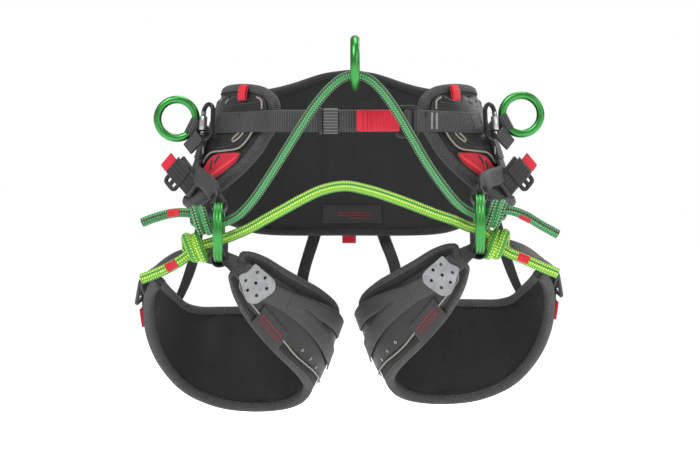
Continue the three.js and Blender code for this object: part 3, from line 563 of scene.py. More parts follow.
# the middle and half sizes of each knot, and the route of the tail that leaves it
KNOTS = {
    "upper_right": ((-167, -113, -114.5), (11.5, 11.5, 16),
                    [(-161, -113, -115), (-172, -111, -109), (-182, -110, -106),
                    (-200, -108, -106.5), (-219.6, -106, -111.5), (-235.6, -104, -117.5)]),
    "upper_left": ((165.5, -113, -107.5), (11.5, 11.5, 15.5),
                   [(159, -113, -108), (170, -111, -104), (180, -110, -103),
                   (198, -108, -108.5), (217.3, -106, -119.8), (237.9, -104, -131)]),
    "lower_right": ((-175, -101, -145.5), (13.5, 12.5, 16),
                    [(-169, -101, -143), (-180, -101, -152), (-191.6, -101, -160.6),
                    (-207.6, -100, -169.6), (-223.5, -99, -176.5), (-237.2, -98, -181.6)]),
    "lower_left": ((167.5, -101, -141.5), (13.5, 12.5, 16.5),
                   [(163, -101, -136), (172, -101, -145), (183, -101, -152),
                   (198.5, -100, -158.3), (219, -99, -167.4), (238.4, -98, -175.3)]),
}
# how far along each tail its sewn mark is, and which way that faces
MARKS = {"upper_right": (0.50, (0, -1, 0.1)), "upper_left": (0.50, (0, -0.5, -1)),
         "lower_right": (0.50, (0, -1, 0.1)),
         "lower_left": (0.48, (0, -1, 0.1))}
BRIDGE_RING_PLACE = vec(6.6, -171, 58.8)


def knot_path(middle, half, diameter, s):
    """A stopper knot: the rope climbs round itself in leaning wraps laid side by side, and tucks under the last."""
    middle, reach = vec(*middle), vec(*half) + 1.2 - diameter / 2
    first, turned = -150, 700  # degrees
    wraps = []
    for t in np.linspace(0, 1, 34):
        a = math.radians(first + turned * t)
        across = diameter * (0.92 * (turned / 360) * (t - 0.5) + 0.26 * math.sin(a))
        wraps.append(middle + vec(s * across * 0.86, -reach[1] * math.cos(a), reach[2] * math.sin(a)))
    return [middle] + wraps + [middle + vec(s * 2, 2, -2)]


MARK_LENGTH = 13.5


def sewn_mark(name, path, middle, diameter, toward, body):
    """A patch of red stitching sewn through a rope's tail, on the side that faces toward."""
    fine, steps = 400, 49
    run = smooth(path, fine)
    share = MARK_LENGTH / travelled(run)[-1] / 2
    first, last = (int((middle + by) * (fine - 1)) for by in (-share, share))
    part = smooth(run[first:last + 1], steps)
    side, out = frames(part, vec(*toward))
    grown = 0.45 + 0.35 * np.abs(np.sin(np.linspace(0, 12 * math.pi, steps)))
    angle = np.radians(np.linspace(-46, 46, 9))
    skin = part[:, None] + (diameter / 2 + grown)[:, None, None] * (
        np.sin(angle)[None, :, None] * side[:, None] + np.cos(angle)[None, :, None] * out[:, None])
    under = part[:, None] + (diameter / 2 - 0.8) * (
        np.sin(angle[::-1])[None, :, None] * side[:, None] + np.cos(angle[::-1])[None, :, None] * out[:, None])
    return Shape().add(np.concatenate([skin, under], 1)).build(name, RED_WOUND, body, (), "red_webbing")


def metres(path):
    return (np.asarray(path) * MM).tolist()


def bridge(which, span, diameter, material):
    """One rope bridge: its span between the front rings, and outside each ring a knot, a tail and a sewn mark."""
    body = f"{which}_bridge"
    for side, s, _, _ in SIDES:
        middle, half, tail = KNOTS[f"{which}_{side}"]
        wraps = smooth(knot_path(middle, half, diameter, s), 130)
        knot = rope(f"{which}_{side}_stopper_knot", wraps, diameter, material, body, (f"{which}_{side}_knot",))
        place, toward = MARKS[f"{which}_{side}"]
        mark = sewn_mark(f"{which}_{side}_sewn_mark", tail, place, diameter, toward, body)
        route = smooth(tail, 60)
        end = rope(f"{which}_{side}_tail", route, diameter, material, body)
        metres(tail[0])
        metres(route)
    route = smooth(span, 240)
    line = rope(f"{which}_bridge_rope", route, diameter, material, body, (f"{which}_bridge",), sides=20)
    metres(span[0])
    metres(route)


def circle(centre, radius, a, b, count=96):
    """Points round a circle from direction a towards direction b."""
    turn = np.linspace(0, 2 * math.pi, count, endpoint=False)[:, None]
    return centre + radius * (np.cos(turn) * unit(a) + np.sin(turn) * unit(b))


def round_ring(name, centre, radius, wire, a, b, body):
    """A ring of round wire, for the body's node of the same name. radius is to the middle of the wire, and wire is
    half its thickness."""
    sides = 24
    rings = tube_rings(circle(centre, radius, a, b, 120), wire, sides, closed=True)
    return Shape().add(rings, across=np.arange(sides) * 2 * math.pi * wire / sides, closed=True).build(
        name, GREEN, body, (body,), "green_anodised")


bridge_ring = round_ring("bridge_ring_smooth", BRIDGE_RING_PLACE, 25.9, 5.3, (0, 1, 0), (0, 0, 1), "bridge_ring")
bridge("upper", UPPER_SPAN, UPPER_ROPE, DARK_ROPE)
bridge("lower", LOWER_SPAN, LOWER_ROPE, LIGHT_ROPE)

# ---------------------------------------------------------------- belt and leg surfaces, as in the CAD part
WAIST_HALF_WIDTH, WAIST_HALF_DEPTH, SIDE_FLARE, DEPTH_FLARE = 150, 122, 0.36, 0.1
PAD = 11
SHELL_FLOOR = PAD + 0.6
STRAP_FLOOR = SHELL_FLOOR + 2.4
BACK_TOP = [(0, 68.5), (14, 63.5), (30, 50.5), (41, 43.5), (55, 38.5), (72, 36.5)]
BACK_BOTTOM = [(0, -131), (25, -131), (36, -128), (46, -120), (60, -110), (72, -104)]
WING_TOP = [(73, 36.5), (90, 37), (110, 38.5), (125, 38.5), (135, 36), (141, 31), (145.5, 23), (148.3, 10)]
WING_BOTTOM = [(73, -103.5), (90, -97), (108, -100), (120, -90), (130, -74), (137, -58), (143, -38), (148.3, -8)]
LEG_PAD = 9
LEG_CROWN = 5
LEG_STRAP_FLOOR = LEG_PAD + 5
LEG_UPPER = [
    (-219, -36, -180), (-215, 12, -190), (-209, 46, -200), (-198, 74, -213), (-181, 93, -219), (-158, 105, -220),
    (-126, 110, -220), (-90, 106, -220), (-56, 92, -221), (-30, 66, -222), (-16, 32, -221), (-20, -2, -208),
    (-35, -34, -194), (-55, -60, -182), (-75, -80, -170), (-94, -94, -158), (-110, -103, -152), (-122, -108, -152),
]
LEG_LOWER = [
    (-223, -41, -186), (-234, -22, -200), (-238, 0, -221), (-236, 26, -253), (-223, 47, -287), (-197, 62, -318),
    (-160, 70, -336), (-121, 73, -342), (-83, 70, -340), (-60, 57, -331), (-50, 37, -316), (-54, 9, -302),
    (-66, -17, -287), (-84, -41, -268), (-102, -61, -247), (-119, -79, -223), (-131, -94, -198), (-136, -103, -176),
]


def belt(degrees, z, h):
    a = math.radians(degrees)
    half_width = WAIST_HALF_WIDTH - SIDE_FLARE * z + h
    half_depth = WAIST_HALF_DEPTH - DEPTH_FLARE * z + h
    return vec(half_width * math.sin(a), half_depth * math.cos(a), z)


def belt_out(degrees, z, h=0.0):
    around = belt(degrees + 0.5, z, h) - belt(degrees - 0.5, z, h)
    up = belt(degrees, z + 0.5, h) - belt(degrees, z - 0.5, h)
    return unit(np.cross(up, around))


def on_belt(degrees, z, h):
    return belt(degrees, z, h), belt_out(degrees, z, h)


def uniform(points, t):
    """The uniform Catmull-Rom curve that the CAD part lays its leg edges on."""
    n = len(points)
    i = min(int((n - 1) * t), n - 2)
    w = (n - 1) * t - i
    b, c = vec(*points[i]), vec(*points[i + 1])
    a = vec(*points[i - 1]) if i else 2 * b - c
    d = vec(*points[i + 2]) if i + 2 < n else 2 * c - b
    m1, m2 = (c - a) / 2, (d - b) / 2
    return b + m1 * w + (-3 * b + 3 * c - 2 * m1 - m2) * w**2 + (2 * b - 2 * c + m1 + m2) * w**3


def leg_flat(u, v):
    return lerp(uniform(LEG_UPPER, u), uniform(LEG_LOWER, u), v)


def leg_out(u, v):
    here = min(max(u, 0.01), 0.99)
    along_pad = leg_flat(here + 0.01, v) - leg_flat(here - 0.01, v)
    return unit(np.cross(along_pad, uniform(LEG_LOWER, here) - uniform(LEG_UPPER, here)))


def leg(u, v, h):
    return leg_flat(u, v) + leg_out(u, v) * (h + LEG_CROWN * 4 * v * (1 - v) - LEG_PAD / 2)


class LegSide:
    """The leg surface for one side of the body."""

    def __init__(self, sign, ring_z):
        self.flip = vec(-sign, 1, 1)
        self.shift = vec(0, 0, ring_z + 127)

    def place(self, p):
        return np.asarray(p, float) * self.flip + self.shift

    def at(self, u, v, h):
        return self.place(leg(u, v, h))

    def out(self, u, v):
        return leg_out(u, v) * self.flip

    def on(self, u, v, h):
        return self.at(u, v, h), self.out(u, v)


# ---------------------------------------------------------------- pads
def pad_rings(place, nu, nv, thickness, width, rim=5.0):
    """A pad's skin: for each u, a loop down its inner face and back up its outer one, with a rounded rim.
    place(u, v, h) gives a point; width is about the pad's own."""
    rings = []
    for u in np.linspace(0, 1, nu):
        end = min(u, 1 - u) * 400
        v = np.linspace(0, 1, nv)
        near = np.minimum(np.minimum(v, 1 - v) * width, end)
        swell = np.sqrt(np.clip(1 - (1 - np.clip(near / rim, 0, 1)) ** 2, 0.04, 1))
        mid = thickness / 2
        inner = [place(u, x, mid - mid * s) for x, s in zip(v, swell)]
        outer = [place(u, x, mid + mid * s) for x, s in zip(v[::-1], swell[::-1])]
        rings.append(inner + outer)
    return np.array(rings)


PUFF_PRESSURE, PUFF_STEPS = 4.0, 20


def puff(obj, seams, keep, cap):
    """Inflates a pad a little with Cloth, held along its seams (a weight from 0 to 1 at each point), then fixes it.
    keep is the share of the movement that each point makes, and cap the most, in millimetres."""
    rest = np.array([v.co for v in obj.data.vertices])
    group = obj.vertex_groups.new(name="held")
    for i, w in enumerate(seams):
        if w > 0:
            group.add([i], float(w), "REPLACE")
    cloth = obj.modifiers.new("puff", "CLOTH")
    s = cloth.settings
    s.quality = 4
    s.mass = 0.3
    s.tension_stiffness = s.compression_stiffness = 12
    s.shear_stiffness = 6
    s.bending_stiffness = 1.2
    s.vertex_group_mass = "held"
    s.pin_stiffness = 3
    s.use_pressure = True
    s.uniform_pressure_force = PUFF_PRESSURE
    s.effector_weights.gravity = 0
    cloth.collision_settings.use_self_collision = False
    cloth.collision_settings.use_collision = False
    scene = bpy.context.scene
    scene.frame_start, scene.frame_end = 1, PUFF_STEPS
    cloth.point_cache.frame_start, cloth.point_cache.frame_end = 1, PUFF_STEPS
    for f in range(1, PUFF_STEPS + 1):
        scene.frame_set(f)
    evaluated = obj.evaluated_get(bpy.context.evaluated_depsgraph_get())
    moved = np.array([v.co for v in evaluated.data.vertices]) - rest
    obj.modifiers.remove(cloth)
    scene.frame_set(1)
    far = np.linalg.norm(moved, axis=1, keepdims=True)
    moved *= np.minimum(1, cap * MM / np.maximum(far, 1e-9)) * np.reshape(keep, (-1, 1))
    obj.data.vertices.foreach_set("co", (rest + moved).astype(np.float32).ravel())
    obj.data.update()


TAPE = 0.9  # how thick the binding tape is, and how far it stands off a pad's faces


def edge_tape(name, stations, material, body, width, thickness, steps):
    """Binding folded over a pad's edge. stations are (edge point, direction into the pad, outward direction)."""
    data = smooth([np.r_[p, unit(i), unit(o)] for p, i, o in stations], steps, closed=True)
    p, into, out = data[:, :3], data[:, 3:6], data[:, 6:]
    inner, outer = -TAPE, thickness + TAPE
    mid, half = (inner + outer) / 2, (outer - inner) / 2
    section = [(width, outer), (width * 0.5, outer + 0.25), (1.6, outer), (-0.9, mid + half * 0.72), (-1.6, mid),
               (-0.9, mid - half * 0.72), (1.6, inner), (width * 0.5, inner - 0.25), (width, inner)]
    back = [(x + (0.0 if abs(x) > 2 else TAPE), y + (-TAPE if y > mid + 1 else TAPE if y < mid - 1 else 0.0))
            for x, y in section]
    loop = section + back[::-1]
    rings = np.stack([p + into * x + out * y for x, y in loop], 1)
    lengths = travelled(np.array([(x, y, 0) for x, y in loop], float))
    Shape().add(rings, across=lengths, closed=True).build(name, material, body, (), "pad_lining")


def rim(points, outs):
    """Edge stations for edge_tape along a closed outline: point, direction into the pad, outward direction."""
    p, o = np.array(points), np.array(outs)
    t = np.roll(p, -1, 0) - np.roll(p, 1, 0)
    into = np.cross(o, t)
    if np.sum(into * (p.mean(0) - p)) < 0:
        into = -into
    return list(zip(p, into, o))


def two_sided(obj, around, inner, material):
    """Gives the outer side of a pad's skin its own cloth. Its rings have around points, the first inner of
    them inside."""
    obj.data.materials.append(material)
    for k, face in enumerate(obj.data.polygons):
        if k % around >= inner - 1:
            face.material_index = 1


# ---------------------------------------------------------------- small shared pieces
def seat(points, origin, normal, up):
    """Local points, with z along normal and y towards up, laid at origin."""
    z = unit(normal)
    x = unit(np.cross(up, z))
    return origin + np.asarray(points, float) @ np.array([x, np.cross(z, x), z])


SECTION_POINTS = 14


def soft_section(half_width, half_height):
    """A moulded bar's section: a rectangle with well rounded corners."""
    power = 0.55
    a = np.linspace(0, 2 * math.pi, SECTION_POINTS, endpoint=False)
    x, y = np.cos(a), np.sin(a)
    return np.stack([half_width * np.sign(x) * np.abs(x) ** power, half_height * np.sign(y) * np.abs(y) ** power], 1)


def rounded_corners(width, height, radius, per_corner=7):
    """The outline of a rounded rectangle about the origin, counter-clockwise."""
    points = []
    for k, (sx, sy) in enumerate(((1, 1), (-1, 1), (-1, -1), (1, -1))):
        for a in np.linspace(k * 90, k * 90 + 90, per_corner):
            a = math.radians(a)
            points.append((sx * (width / 2 - radius) + radius * math.cos(a),
                           sy * (height / 2 - radius) + radius * math.sin(a), 0))
    return np.array(points)


def buckle(name, origin, normal, up, size, rail, bars, body, dish=0.0, thickness=4.2):
    """An adjuster frame, for the body's node of the same name: a rounded rail all round, and cross bars at
    (height, half width) with a grip worked in."""
    shape = Shape()
    steps = 41
    width, height = size
    line = smooth(rounded_corners(width - rail, height - rail, 3.6), 72, closed=True)
    side, _ = frames(line, vec(0, 0, 1), closed=True)
    section = soft_section(rail / 2, thickness / 2)
    rings = line[:, None] + section[None, :, :1] * side[:, None] + section[None, :, 1:] * vec(0, 0, 1)
    rings[..., 2] -= dish * (rings[..., 0] / (width / 2)) ** 2
    shape.add(seat(rings, origin, normal, up), closed=True)
    for middle, half in bars:
        x = np.linspace(-(width - rail) / 2, (width - rail) / 2, steps)
        grip = 1 + 0.1 * np.abs(np.sin(np.linspace(0, 9 * math.pi, steps)))
        section = soft_section(half, thickness * 0.42)
        grid = (steps, SECTION_POINTS)
        bar = np.stack([np.broadcast_to(x[:, None], grid), middle + np.broadcast_to(section[:, 0], grid),
                        section[:, 1][None] * grip[:, None] - dish * (x[:, None] / (width / 2)) ** 2], -1)
        shape.add(seat(bar, origin, normal, up))
    shape.build(name, PLASTIC, body, (body,), "black_plastic")


def folded(name, stations, gap, material, body, stands_for=(), width=24, thickness=1.1, slot=None, bow=0.0, steps=72):
    """Tape doubled on itself along stations, with a round fold at each end: one closed loop, gap between its layers."""
    p = smooth([np.r_[q, unit(n)] for q, n in stations], 14)
    t = tangents(p[:, :3])
    rise = gap / 2 + bow * np.sin(np.linspace(0, math.pi, 14))[:, None]
    there = [(q[:3] + q[3:] * r, q[3:]) for q, r in zip(p, rise)]
    back = [(q[:3] - q[3:] * gap / 2, -q[3:]) for q in p[::-1]]
    end = (p[-1, :3] + t[-1] * gap * 0.55, t[-1])
    start = (p[0, :3] - t[0] * gap * 0.55, -t[0])
    return strap(name, there + [end] + back + [start], material, body, width, thickness, steps, stands_for, True,
                 slot)


def sling(name, wire, toward, along_wire, radius, stations, body, node, width, steps=130):
    """Webbing round a ring's wire: up to it under the stations' line, round it, and back on top.
    stations run away from the wire."""
    layer = 1.05  # half the distance between the two thicknesses
    toward = unit(toward)
    lift = unit(np.cross(along_wire, toward))
    if np.dot(lift, stations[0][1]) < 0:
        lift = -lift
    under = [(p - unit(n) * layer, -unit(n)) for p, n in stations[::-1]]
    over = [(p + unit(n) * layer, unit(n)) for p, n in stations]
    bend = []
    for a in np.radians(np.linspace(-62, -298, 11)):
        d = math.cos(a) * toward + math.sin(a) * lift
        bend.append((wire + radius * d, d))
    strap(name, under + bend + over, WEBBING, body, width, 1.8, steps, (node,), slot="dark_webbing")


def piping(name, stations, body, width, thickness, steps):
    strap(name, stations, PIPING, body, width, thickness, steps, slot="laminate")


# ---------------------------------------------------------------- back of the belt
BACK_END = 72  # degrees either way at which the back panel ends
LABEL_BOX = (-10, 12.5, -117, -94)  # degrees and heights between which the label is sewn


def back_place(u, v, h):
    d = lerp(-BACK_END, BACK_END, u)
    return belt(d, lerp(along(BACK_TOP, abs(d)), along(BACK_BOTTOM, abs(d)), v), h)


def line_weight(x, y, points, reach):
    """1 on a line through (x, y) points, falling to 0 at reach from it."""
    best = 1e9
    for (x0, y0), (x1, y1) in zip(points, points[1:]):
        t = min(max(((x - x0) * (x1 - x0) + (y - y0) * (y1 - y0)) / ((x1 - x0) ** 2 + (y1 - y0) ** 2), 0), 1)
        best = min(best, math.hypot(x - lerp(x0, x1, t), y - lerp(y0, y1, t)))
    return max(0.0, 1 - best / reach)


BACK_RADIUS = 145  # about how far the back of the belt is from its middle
# sewn lines on the back panel, as (distance round from the middle, height) in millimetres
BACK_SEAMS = [
    [(-52, 44), (-30, 30), (0, 27), (30, 30), (52, 44)],
    [(-150, 4), (-100, -4), (-60, -2), (-52, 44)], [(150, 4), (100, -4), (60, -2), (52, 44)],
]


def back_seam(u, v):
    d = lerp(-BACK_END, BACK_END, u)
    z = lerp(along(BACK_TOP, abs(d)), along(BACK_BOTTOM, abs(d)), v)
    x = math.radians(d) * BACK_RADIUS
    on_label = LABEL_BOX[0] - 2 < d < LABEL_BOX[1] + 2 and LABEL_BOX[2] - 4 < z < LABEL_BOX[3] + 4
    return 1.0 if on_label else max(line_weight(x, z, seam, 6) for seam in BACK_SEAMS)


def pad(name, place, nu, nv, thickness, width, material, outer_material, body, node, seam, cap):
    """A foam pad: its skin, puffed up between its sewn lines on the inner side, with the outer side almost flat."""
    obj = Shape().add(pad_rings(place, nu, nv, thickness, width)).build(name, material, body, (node,), "pad_lining")
    two_sided(obj, 2 * nv, nv, outer_material)
    hold, keep = [], []
    for u in np.linspace(0, 1, nu):
        edge_u = min(u, 1 - u) * nu / 3.0
        for side in (0, 1):
            for v in np.linspace(0, 1, nv)[::1 if side == 0 else -1]:
                edge = min(edge_u, min(v, 1 - v) * nv / 2.6, 1.0)
                hold.append(max(1.0 - edge, seam(u, v) if side == 0 else 0.0))
                keep.append(1.0 if side == 0 else 0.06)
    puff(obj, hold, keep, cap)


pad("back_panel", back_place, 90, 40, PAD, 185, LINING, SPACER, "waist", "back_pad", back_seam, cap=3.5)

BACK_ENDS = np.linspace(-70.5, 70.5, 60)
back_outline = [(d, along(BACK_TOP, abs(d))) for d in BACK_ENDS] + [(d,
                                                                     along(BACK_BOTTOM,
                                                                           abs(d))) for d in BACK_ENDS[::-1]]
edge_tape("back_binding", rim([belt(d, z, 0) for d, z in back_outline], [belt_out(d, z) for d, z in back_outline]),
          DARK_BINDING, "waist", 7.5, PAD, 260)
back_thread = Shape()
for inset_by in (5.2, 7.4):
    for edge, sign in ((BACK_TOP, -1), (BACK_BOTTOM, 1)):
        line = [belt(d, along(edge, abs(d)) + sign * inset_by, -1.2) for d in np.linspace(-66, 66, 60)]
        outs = [-belt_out(d, along(edge, abs(d))) for d in np.linspace(-66, 66, 60)]
        stitches(back_thread, line, outs, pitch=3.4, length=2.2, width=0.7, height=0.5)
for seam in BACK_SEAMS:
    run = smooth([(x, 0, z) for x, z in seam], 50)
    degrees = np.degrees(run[:, 0] / BACK_RADIUS)
    for by in (-1.4, 1.4):
        line = [belt(d, z + by, -0.1) for d, z in zip(degrees, run[:, 2])]
        stitches(back_thread, line, [-belt_out(d, z) for d, z in zip(degrees, run[:, 2])], 3.6, 2.4, 0.7, 0.6)
back_thread.build("back_stitching", THREAD, "waist", (), "pad_lining")

# the blank label sewn inside, with its border of thread
label_left, label_right, label_low, label_high = LABEL_BOX


def label_place(u, v, h):
    return belt(lerp(label_left, label_right, u), lerp(label_high, label_low, v), -0.5 - h)


Shape().add(pad_rings(label_place, 24, 8, 0.9, 22, 0.8)).build("back_label", LABEL, "waist", (), "pad_lining")
label_thread = Shape()
corners = [(label_left + 0.5, label_high - 1), (label_right - 0.5, label_high - 1),
           (label_right - 0.5, label_low + 1), (label_left + 0.5, label_low + 1)]
for (d0, z0), (d1, z1) in zip(corners, corners[1:] + corners[:1]):
    line = [belt(lerp(d0, d1, t), lerp(z0, z1, t), -1.7) for t in np.linspace(0, 1, 12)]
    stitches(label_thread, line, -belt_out(0, -105), 2.4, 1.6, 0.5, 0.4)
label_thread.build("back_label_stitching", THREAD, "waist", (), "pad_lining")
mark = Shape()
for x0, x1, z in ((-9, 17, -104), (-9, 17, -107), (1, 17, -110.5)):
    line = [belt(math.degrees(lerp(x0, x1, t) / 130), z, -1.7) for t in np.linspace(0, 1, 16)]
    stitches(mark, line, -belt_out(0, -105), 1.5, 1.3, 1.1 if z == -104 else 0.8, 0.4)
mark.build("back_label_mark", RED_THREAD, "waist", (), "red_webbing")


def shell_back(u, v, h):
    d = lerp(-69, 69, u)
    return belt(d, lerp(along(BACK_TOP, abs(d)) - 15, along(BACK_BOTTOM, abs(d)) + 17, v), SHELL_FLOOR + h)


Shape().add(pad_rings(shell_back, 80, 20, 1.9, 150, 1.6)).build("back_outer_shell", SHELL, "waist", ("back_shell",),
                                                                "laminate")
BACK_LINE = [(0, -34), (40, -38), (70, -48), (94, -56), (105, -58)]
strap("back_load_webbing", [on_belt(d, along(BACK_LINE, abs(d)), 14.7) for d in np.linspace(-105, 105, 37)], WEBBING,
      "waist", 44,
      1.9, 150, ("back_webbing",), slot="dark_webbing")
back_sewing = Shape()
for by in (-19.5, 19.5):
    line = [belt(d, along(BACK_LINE, abs(d)) + by, 16.1) for d in np.linspace(-92, 92, 60)]
    stitches(back_sewing, line, [belt_out(d, -40) for d in np.linspace(-92, 92, 60)], 3.6, 2.6, 0.8, 0.7)
for d in (-66, -22, 22, 66):
    z = along(BACK_LINE, abs(d))
    bar_tack(back_sewing, belt(d, z, 15.9), np.cross(vec(0, 0, 1), belt_out(d, z)), belt_out(d, z), 34, 5, 15)
for edge, sign, by in ((BACK_TOP, -1, 18.5), (BACK_BOTTOM, 1, 20.5)):
    line = [belt(d, along(edge, abs(d)) + sign * by, 13.6) for d in np.linspace(-66, 66, 60)]
    stitches(back_sewing, line, [belt_out(d, -40) for d in np.linspace(-66, 66, 60)], 3.6, 2.4, 0.7, 0.6)
back_sewing.build("back_webbing_stitching", THREAD, "waist", (), "dark_webbing")

folded("tail_loop_webbing", [(vec(0, 149.6, -110), vec(0, -1, 0)), (vec(0, 150.1, -124), vec(0, -1, 0)),
       (vec(0, 150.3, -140.3), vec(0, -1, 0))], 1.5, RED, "waist", ("tail_loop",), 17, 1.1, "red_webbing", bow=0.5)


# ---------------------------------------------------------------- wings, front strap and rings, a side at a time
def wing_place(s):
    def place(u, v, h):
        d = lerp(73, 148.3, u)
        return belt(s * d, lerp(along(WING_TOP, d), along(WING_BOTTOM, d), v), h)
    return place


def wing_seam(u, v):
    return 0.8 * max(line_weight(u * 75, v, [(x, 0), (x, 1)], 3) for x in (24, 52))


WING_SHELL_TOP = [(82, 20), (95, 23), (101, 27), (110, 29.5), (117, 26.5), (121, 29.5), (125, 24.5), (131, 23.5),
                  (135, 28), (139, 26.5), (143, 18), (145, 7)]
WING_SHELL_BOTTOM = [(82, -66), (105, -58), (111.7, -50), (116.2, -37.5), (125, -35.5), (134.5, -32.5), (139.8, -14),
                     (142.5, -6), (145, 3)]


def shell_wing(s):
    def place(u, v, h):
        d = lerp(82, 145, u)
        return belt(s * d, lerp(along(WING_SHELL_TOP, d), along(WING_SHELL_BOTTOM, d), v), SHELL_FLOOR + h)
    return place


WING_DEGREE = 2.6  # about how many millimetres of the wing one degree is


def belt_line(s, points, h, count=24):
    """Stations through (degrees, height) points on the belt."""
    run = smooth([(d * WING_DEGREE, 0, z) for d, z in points], count)
    return [on_belt(s * x / WING_DEGREE, z, h) for x, _, z in run]


def on_wing(shape, s, points, h, **kind):
    run = belt_line(s, points, h, 30)
    return stitches(shape, [p for p, _ in run], [n for _, n in run], **kind)


PATCH_LOWER = [(135.8, -39.5), (133.3, -48.8), (128.2, -60), (122.5, -70)]
PATCH_UPPER = [(135.6, -38), (124.5, -38.6), (117.5, -42.5), (112.9, -54.5)]


def patch_place(s, grow=0.0):
    steps = 40
    low, up = (smooth([(d, 0, z) for d, z in edge], steps) for edge in (PATCH_LOWER, PATCH_UPPER))

    def place(u, v, h):
        k = int(round(u * (steps - 1)))
        a, b = up[k] + (-0.2 * grow, 0, grow), low[k] + (0.35 * grow, 0, -grow)
        swell = 4 * u * (1 - u)
        d, z = lerp(a[0], b[0] + 0.8 * swell * v, v), lerp(a[2] + 1.2 * swell * (1 - v), b[2], v)
        return belt(s * d, z, SHELL_FLOOR + h)
    return place


def wing(name, s):
    pad(f"{name}_wing_padding", wing_place(s), 60, 30, PAD, 110, LINING, SPACER, "waist", f"{name}_wing_pad",
        wing_seam,
        cap=2.5)
    edge = [(d, along(WING_TOP, d)) for d in np.linspace(75, 147.6, 40)]
    edge += [(148.2, z) for z in (6, 1, -4)] + [(d, along(WING_BOTTOM, d)) for d in np.linspace(147.6, 75, 40)]
    edge_tape(f"{name}_wing_binding", rim([belt(s * d, z, 0) for d, z in edge],
                                          [belt_out(s * d, z) for d, z in edge]), BINDING,
              "waist", 8.5, PAD, 230)
    Shape().add(pad_rings(shell_wing(s), 90, 20, 1.9, 70, 1.6)).build(
        f"{name}_wing_outer_shell", SHELL, "waist", (f"{name}_wing_shell",), "laminate")

    lines = {
        "front": [(137.6, 25.5), (140.6, 21), (141.9, 11.5)],
        "hip": [(112.4, 7.3), (112.5, -3), (113.9, -14.8)],
        "lower": [(139.8, -13.3), (137.8, -24), (134.5, -32.3), (126, -35), (116.2, -36.9), (113, -42),
                  (111.7, -49.3)],
        "slit_front": [(135.1, -10.7), (134.4, -17), (131.6, -23.5), (130.3, -25)],
        "slit_back": [(133.4, -12.5), (131.2, -17.5), (129.6, -22.5), (130.3, -25)],
    }
    for part, points in lines.items():
        piping(f"{name}_wing_piping_{part}", belt_line(s, points, 14.1, 40), "waist", 1.9, 1.5, 60)
    slit = [(133.9, -12.5), (132.9, -18), (130.7, -24)]
    strap(f"{name}_wing_slit", belt_line(s, slit, 13.6), SPACER, "waist", [1.2, 4.4, 1.0], 0.9, 30, slot="pad_lining")

    sewing = Shape()
    small = {"pitch": 2.8, "length": 1.5, "width": 0.55, "height": 0.45}
    for points in ([(106, 17.5), (118, 17.5), (130, 18.5), (138.5, 20)], [(106, 10), (115, 12.6), (121, 11)],
                   [(106, -17), (114, -18), (119, -17)], [(107, -28), (117, -30.5), (125, -31), (130, -27.5)],
                   [(124.5, -29), (127.5, -22), (131.5, -12)], [(137.5, -10), (135.5, -21), (132.5, -28.5)]):
        on_wing(sewing, s, points, 13.7, **small)
    sewing.build(f"{name}_wing_stitching", LIGHT_THREAD, "waist", (), "laminate")
    notches = Shape()
    for d, z, lean in ((100.6, 23, 1.6), (108.2, 25.2, 0.2), (115.6, 22.3, 2.0)):
        notches.add(tube_rings([belt(s * (d + lean * 0.6), z + 2.4, 14.0), belt(s * d, z, 14.2),
                                belt(s * (d - lean * 0.6), z - 2.4, 14.0)],
                               [0.5, 1.0, 0.5], 8))
    notches.build(f"{name}_wing_notches", PIPING, "waist", (), "laminate")

    border = Shape().add(pad_rings(lambda u, v, h: patch_place(s, 1.6)(u, v, h - 0.1), 40, 12, 1.6, 16, 1.2))
    border.build(f"{name}_patch_border", LABEL, "waist", (), "laminate")
    Shape().add(pad_rings(lambda u, v, h: patch_place(s)(u, v, h + 0.6), 40, 14, 1.7, 14, 1.0)).build(
        f"{name}_leaf_patch", PATCH, "waist", (f"{name}_wing_patch",), "red_patch")
    band = [patch_place(s)(u, 0.80, 2.5) for u in np.linspace(0.06, 0.94, 26)]
    strap(f"{name}_patch_band", [(p, belt_out(s * 130, -54)) for p in band], PATCH_LIGHT, "waist",
          [1.5, 4.2, 4.8, 3.6], 0.6, 30,
          slot="red_patch")
    glyph = Shape()
    for u0, v0, u1, v1, w in ((0.42, 0.16, 0.62, 0.42, 3.2), (0.62, 0.2, 0.8, 0.5, 3.2)):
        ends = [(patch_place(s)(lerp(u0, u1, t), lerp(v0, v1, t), 2.6), belt_out(s * 128, -54)) for t in (0, 0.5, 1)]
        rings, across = strap_rings(ends, w, 0.6, 8)
        glyph.add(rings, across=across)
    glyph.build(f"{name}_patch_chevrons", LABEL, "waist", (), "laminate")

    place, out = on_belt(s * 129, 32.5, 17)
    up = unit(vec(0, 0, 1) - out * out[2])
    folded(f"{name}_tool_loop_webbing", [(place - up * 8.5 - out * 0.4, out), (place - up * 2 + out * 0.4, out),
           (place + up * 6 + out * 0.2, out)], 2.4, RED, "waist", (f"{name}_tool_loop",), 13, 1.3, "red_webbing",
           bow=0.7)


for name, s, _, _ in SIDES:
    wing(name, s)

# ---------------------------------------------------------------- front strap
STRAP_Z = -3.5
STRAP_HEIGHT = 15.0
FORWARD = vec(0, -1, 0)
FRONT_BUCKLE = vec(65, -144, -4.5)


def from_wing(s):
    start = [on_belt(s * d, STRAP_Z + 1, STRAP_HEIGHT) for d in (112, 122, 132, 140)]
    return start + [(vec(s * 82, -129, STRAP_Z + 0.5), vec(s * 0.3, -1, 0))]


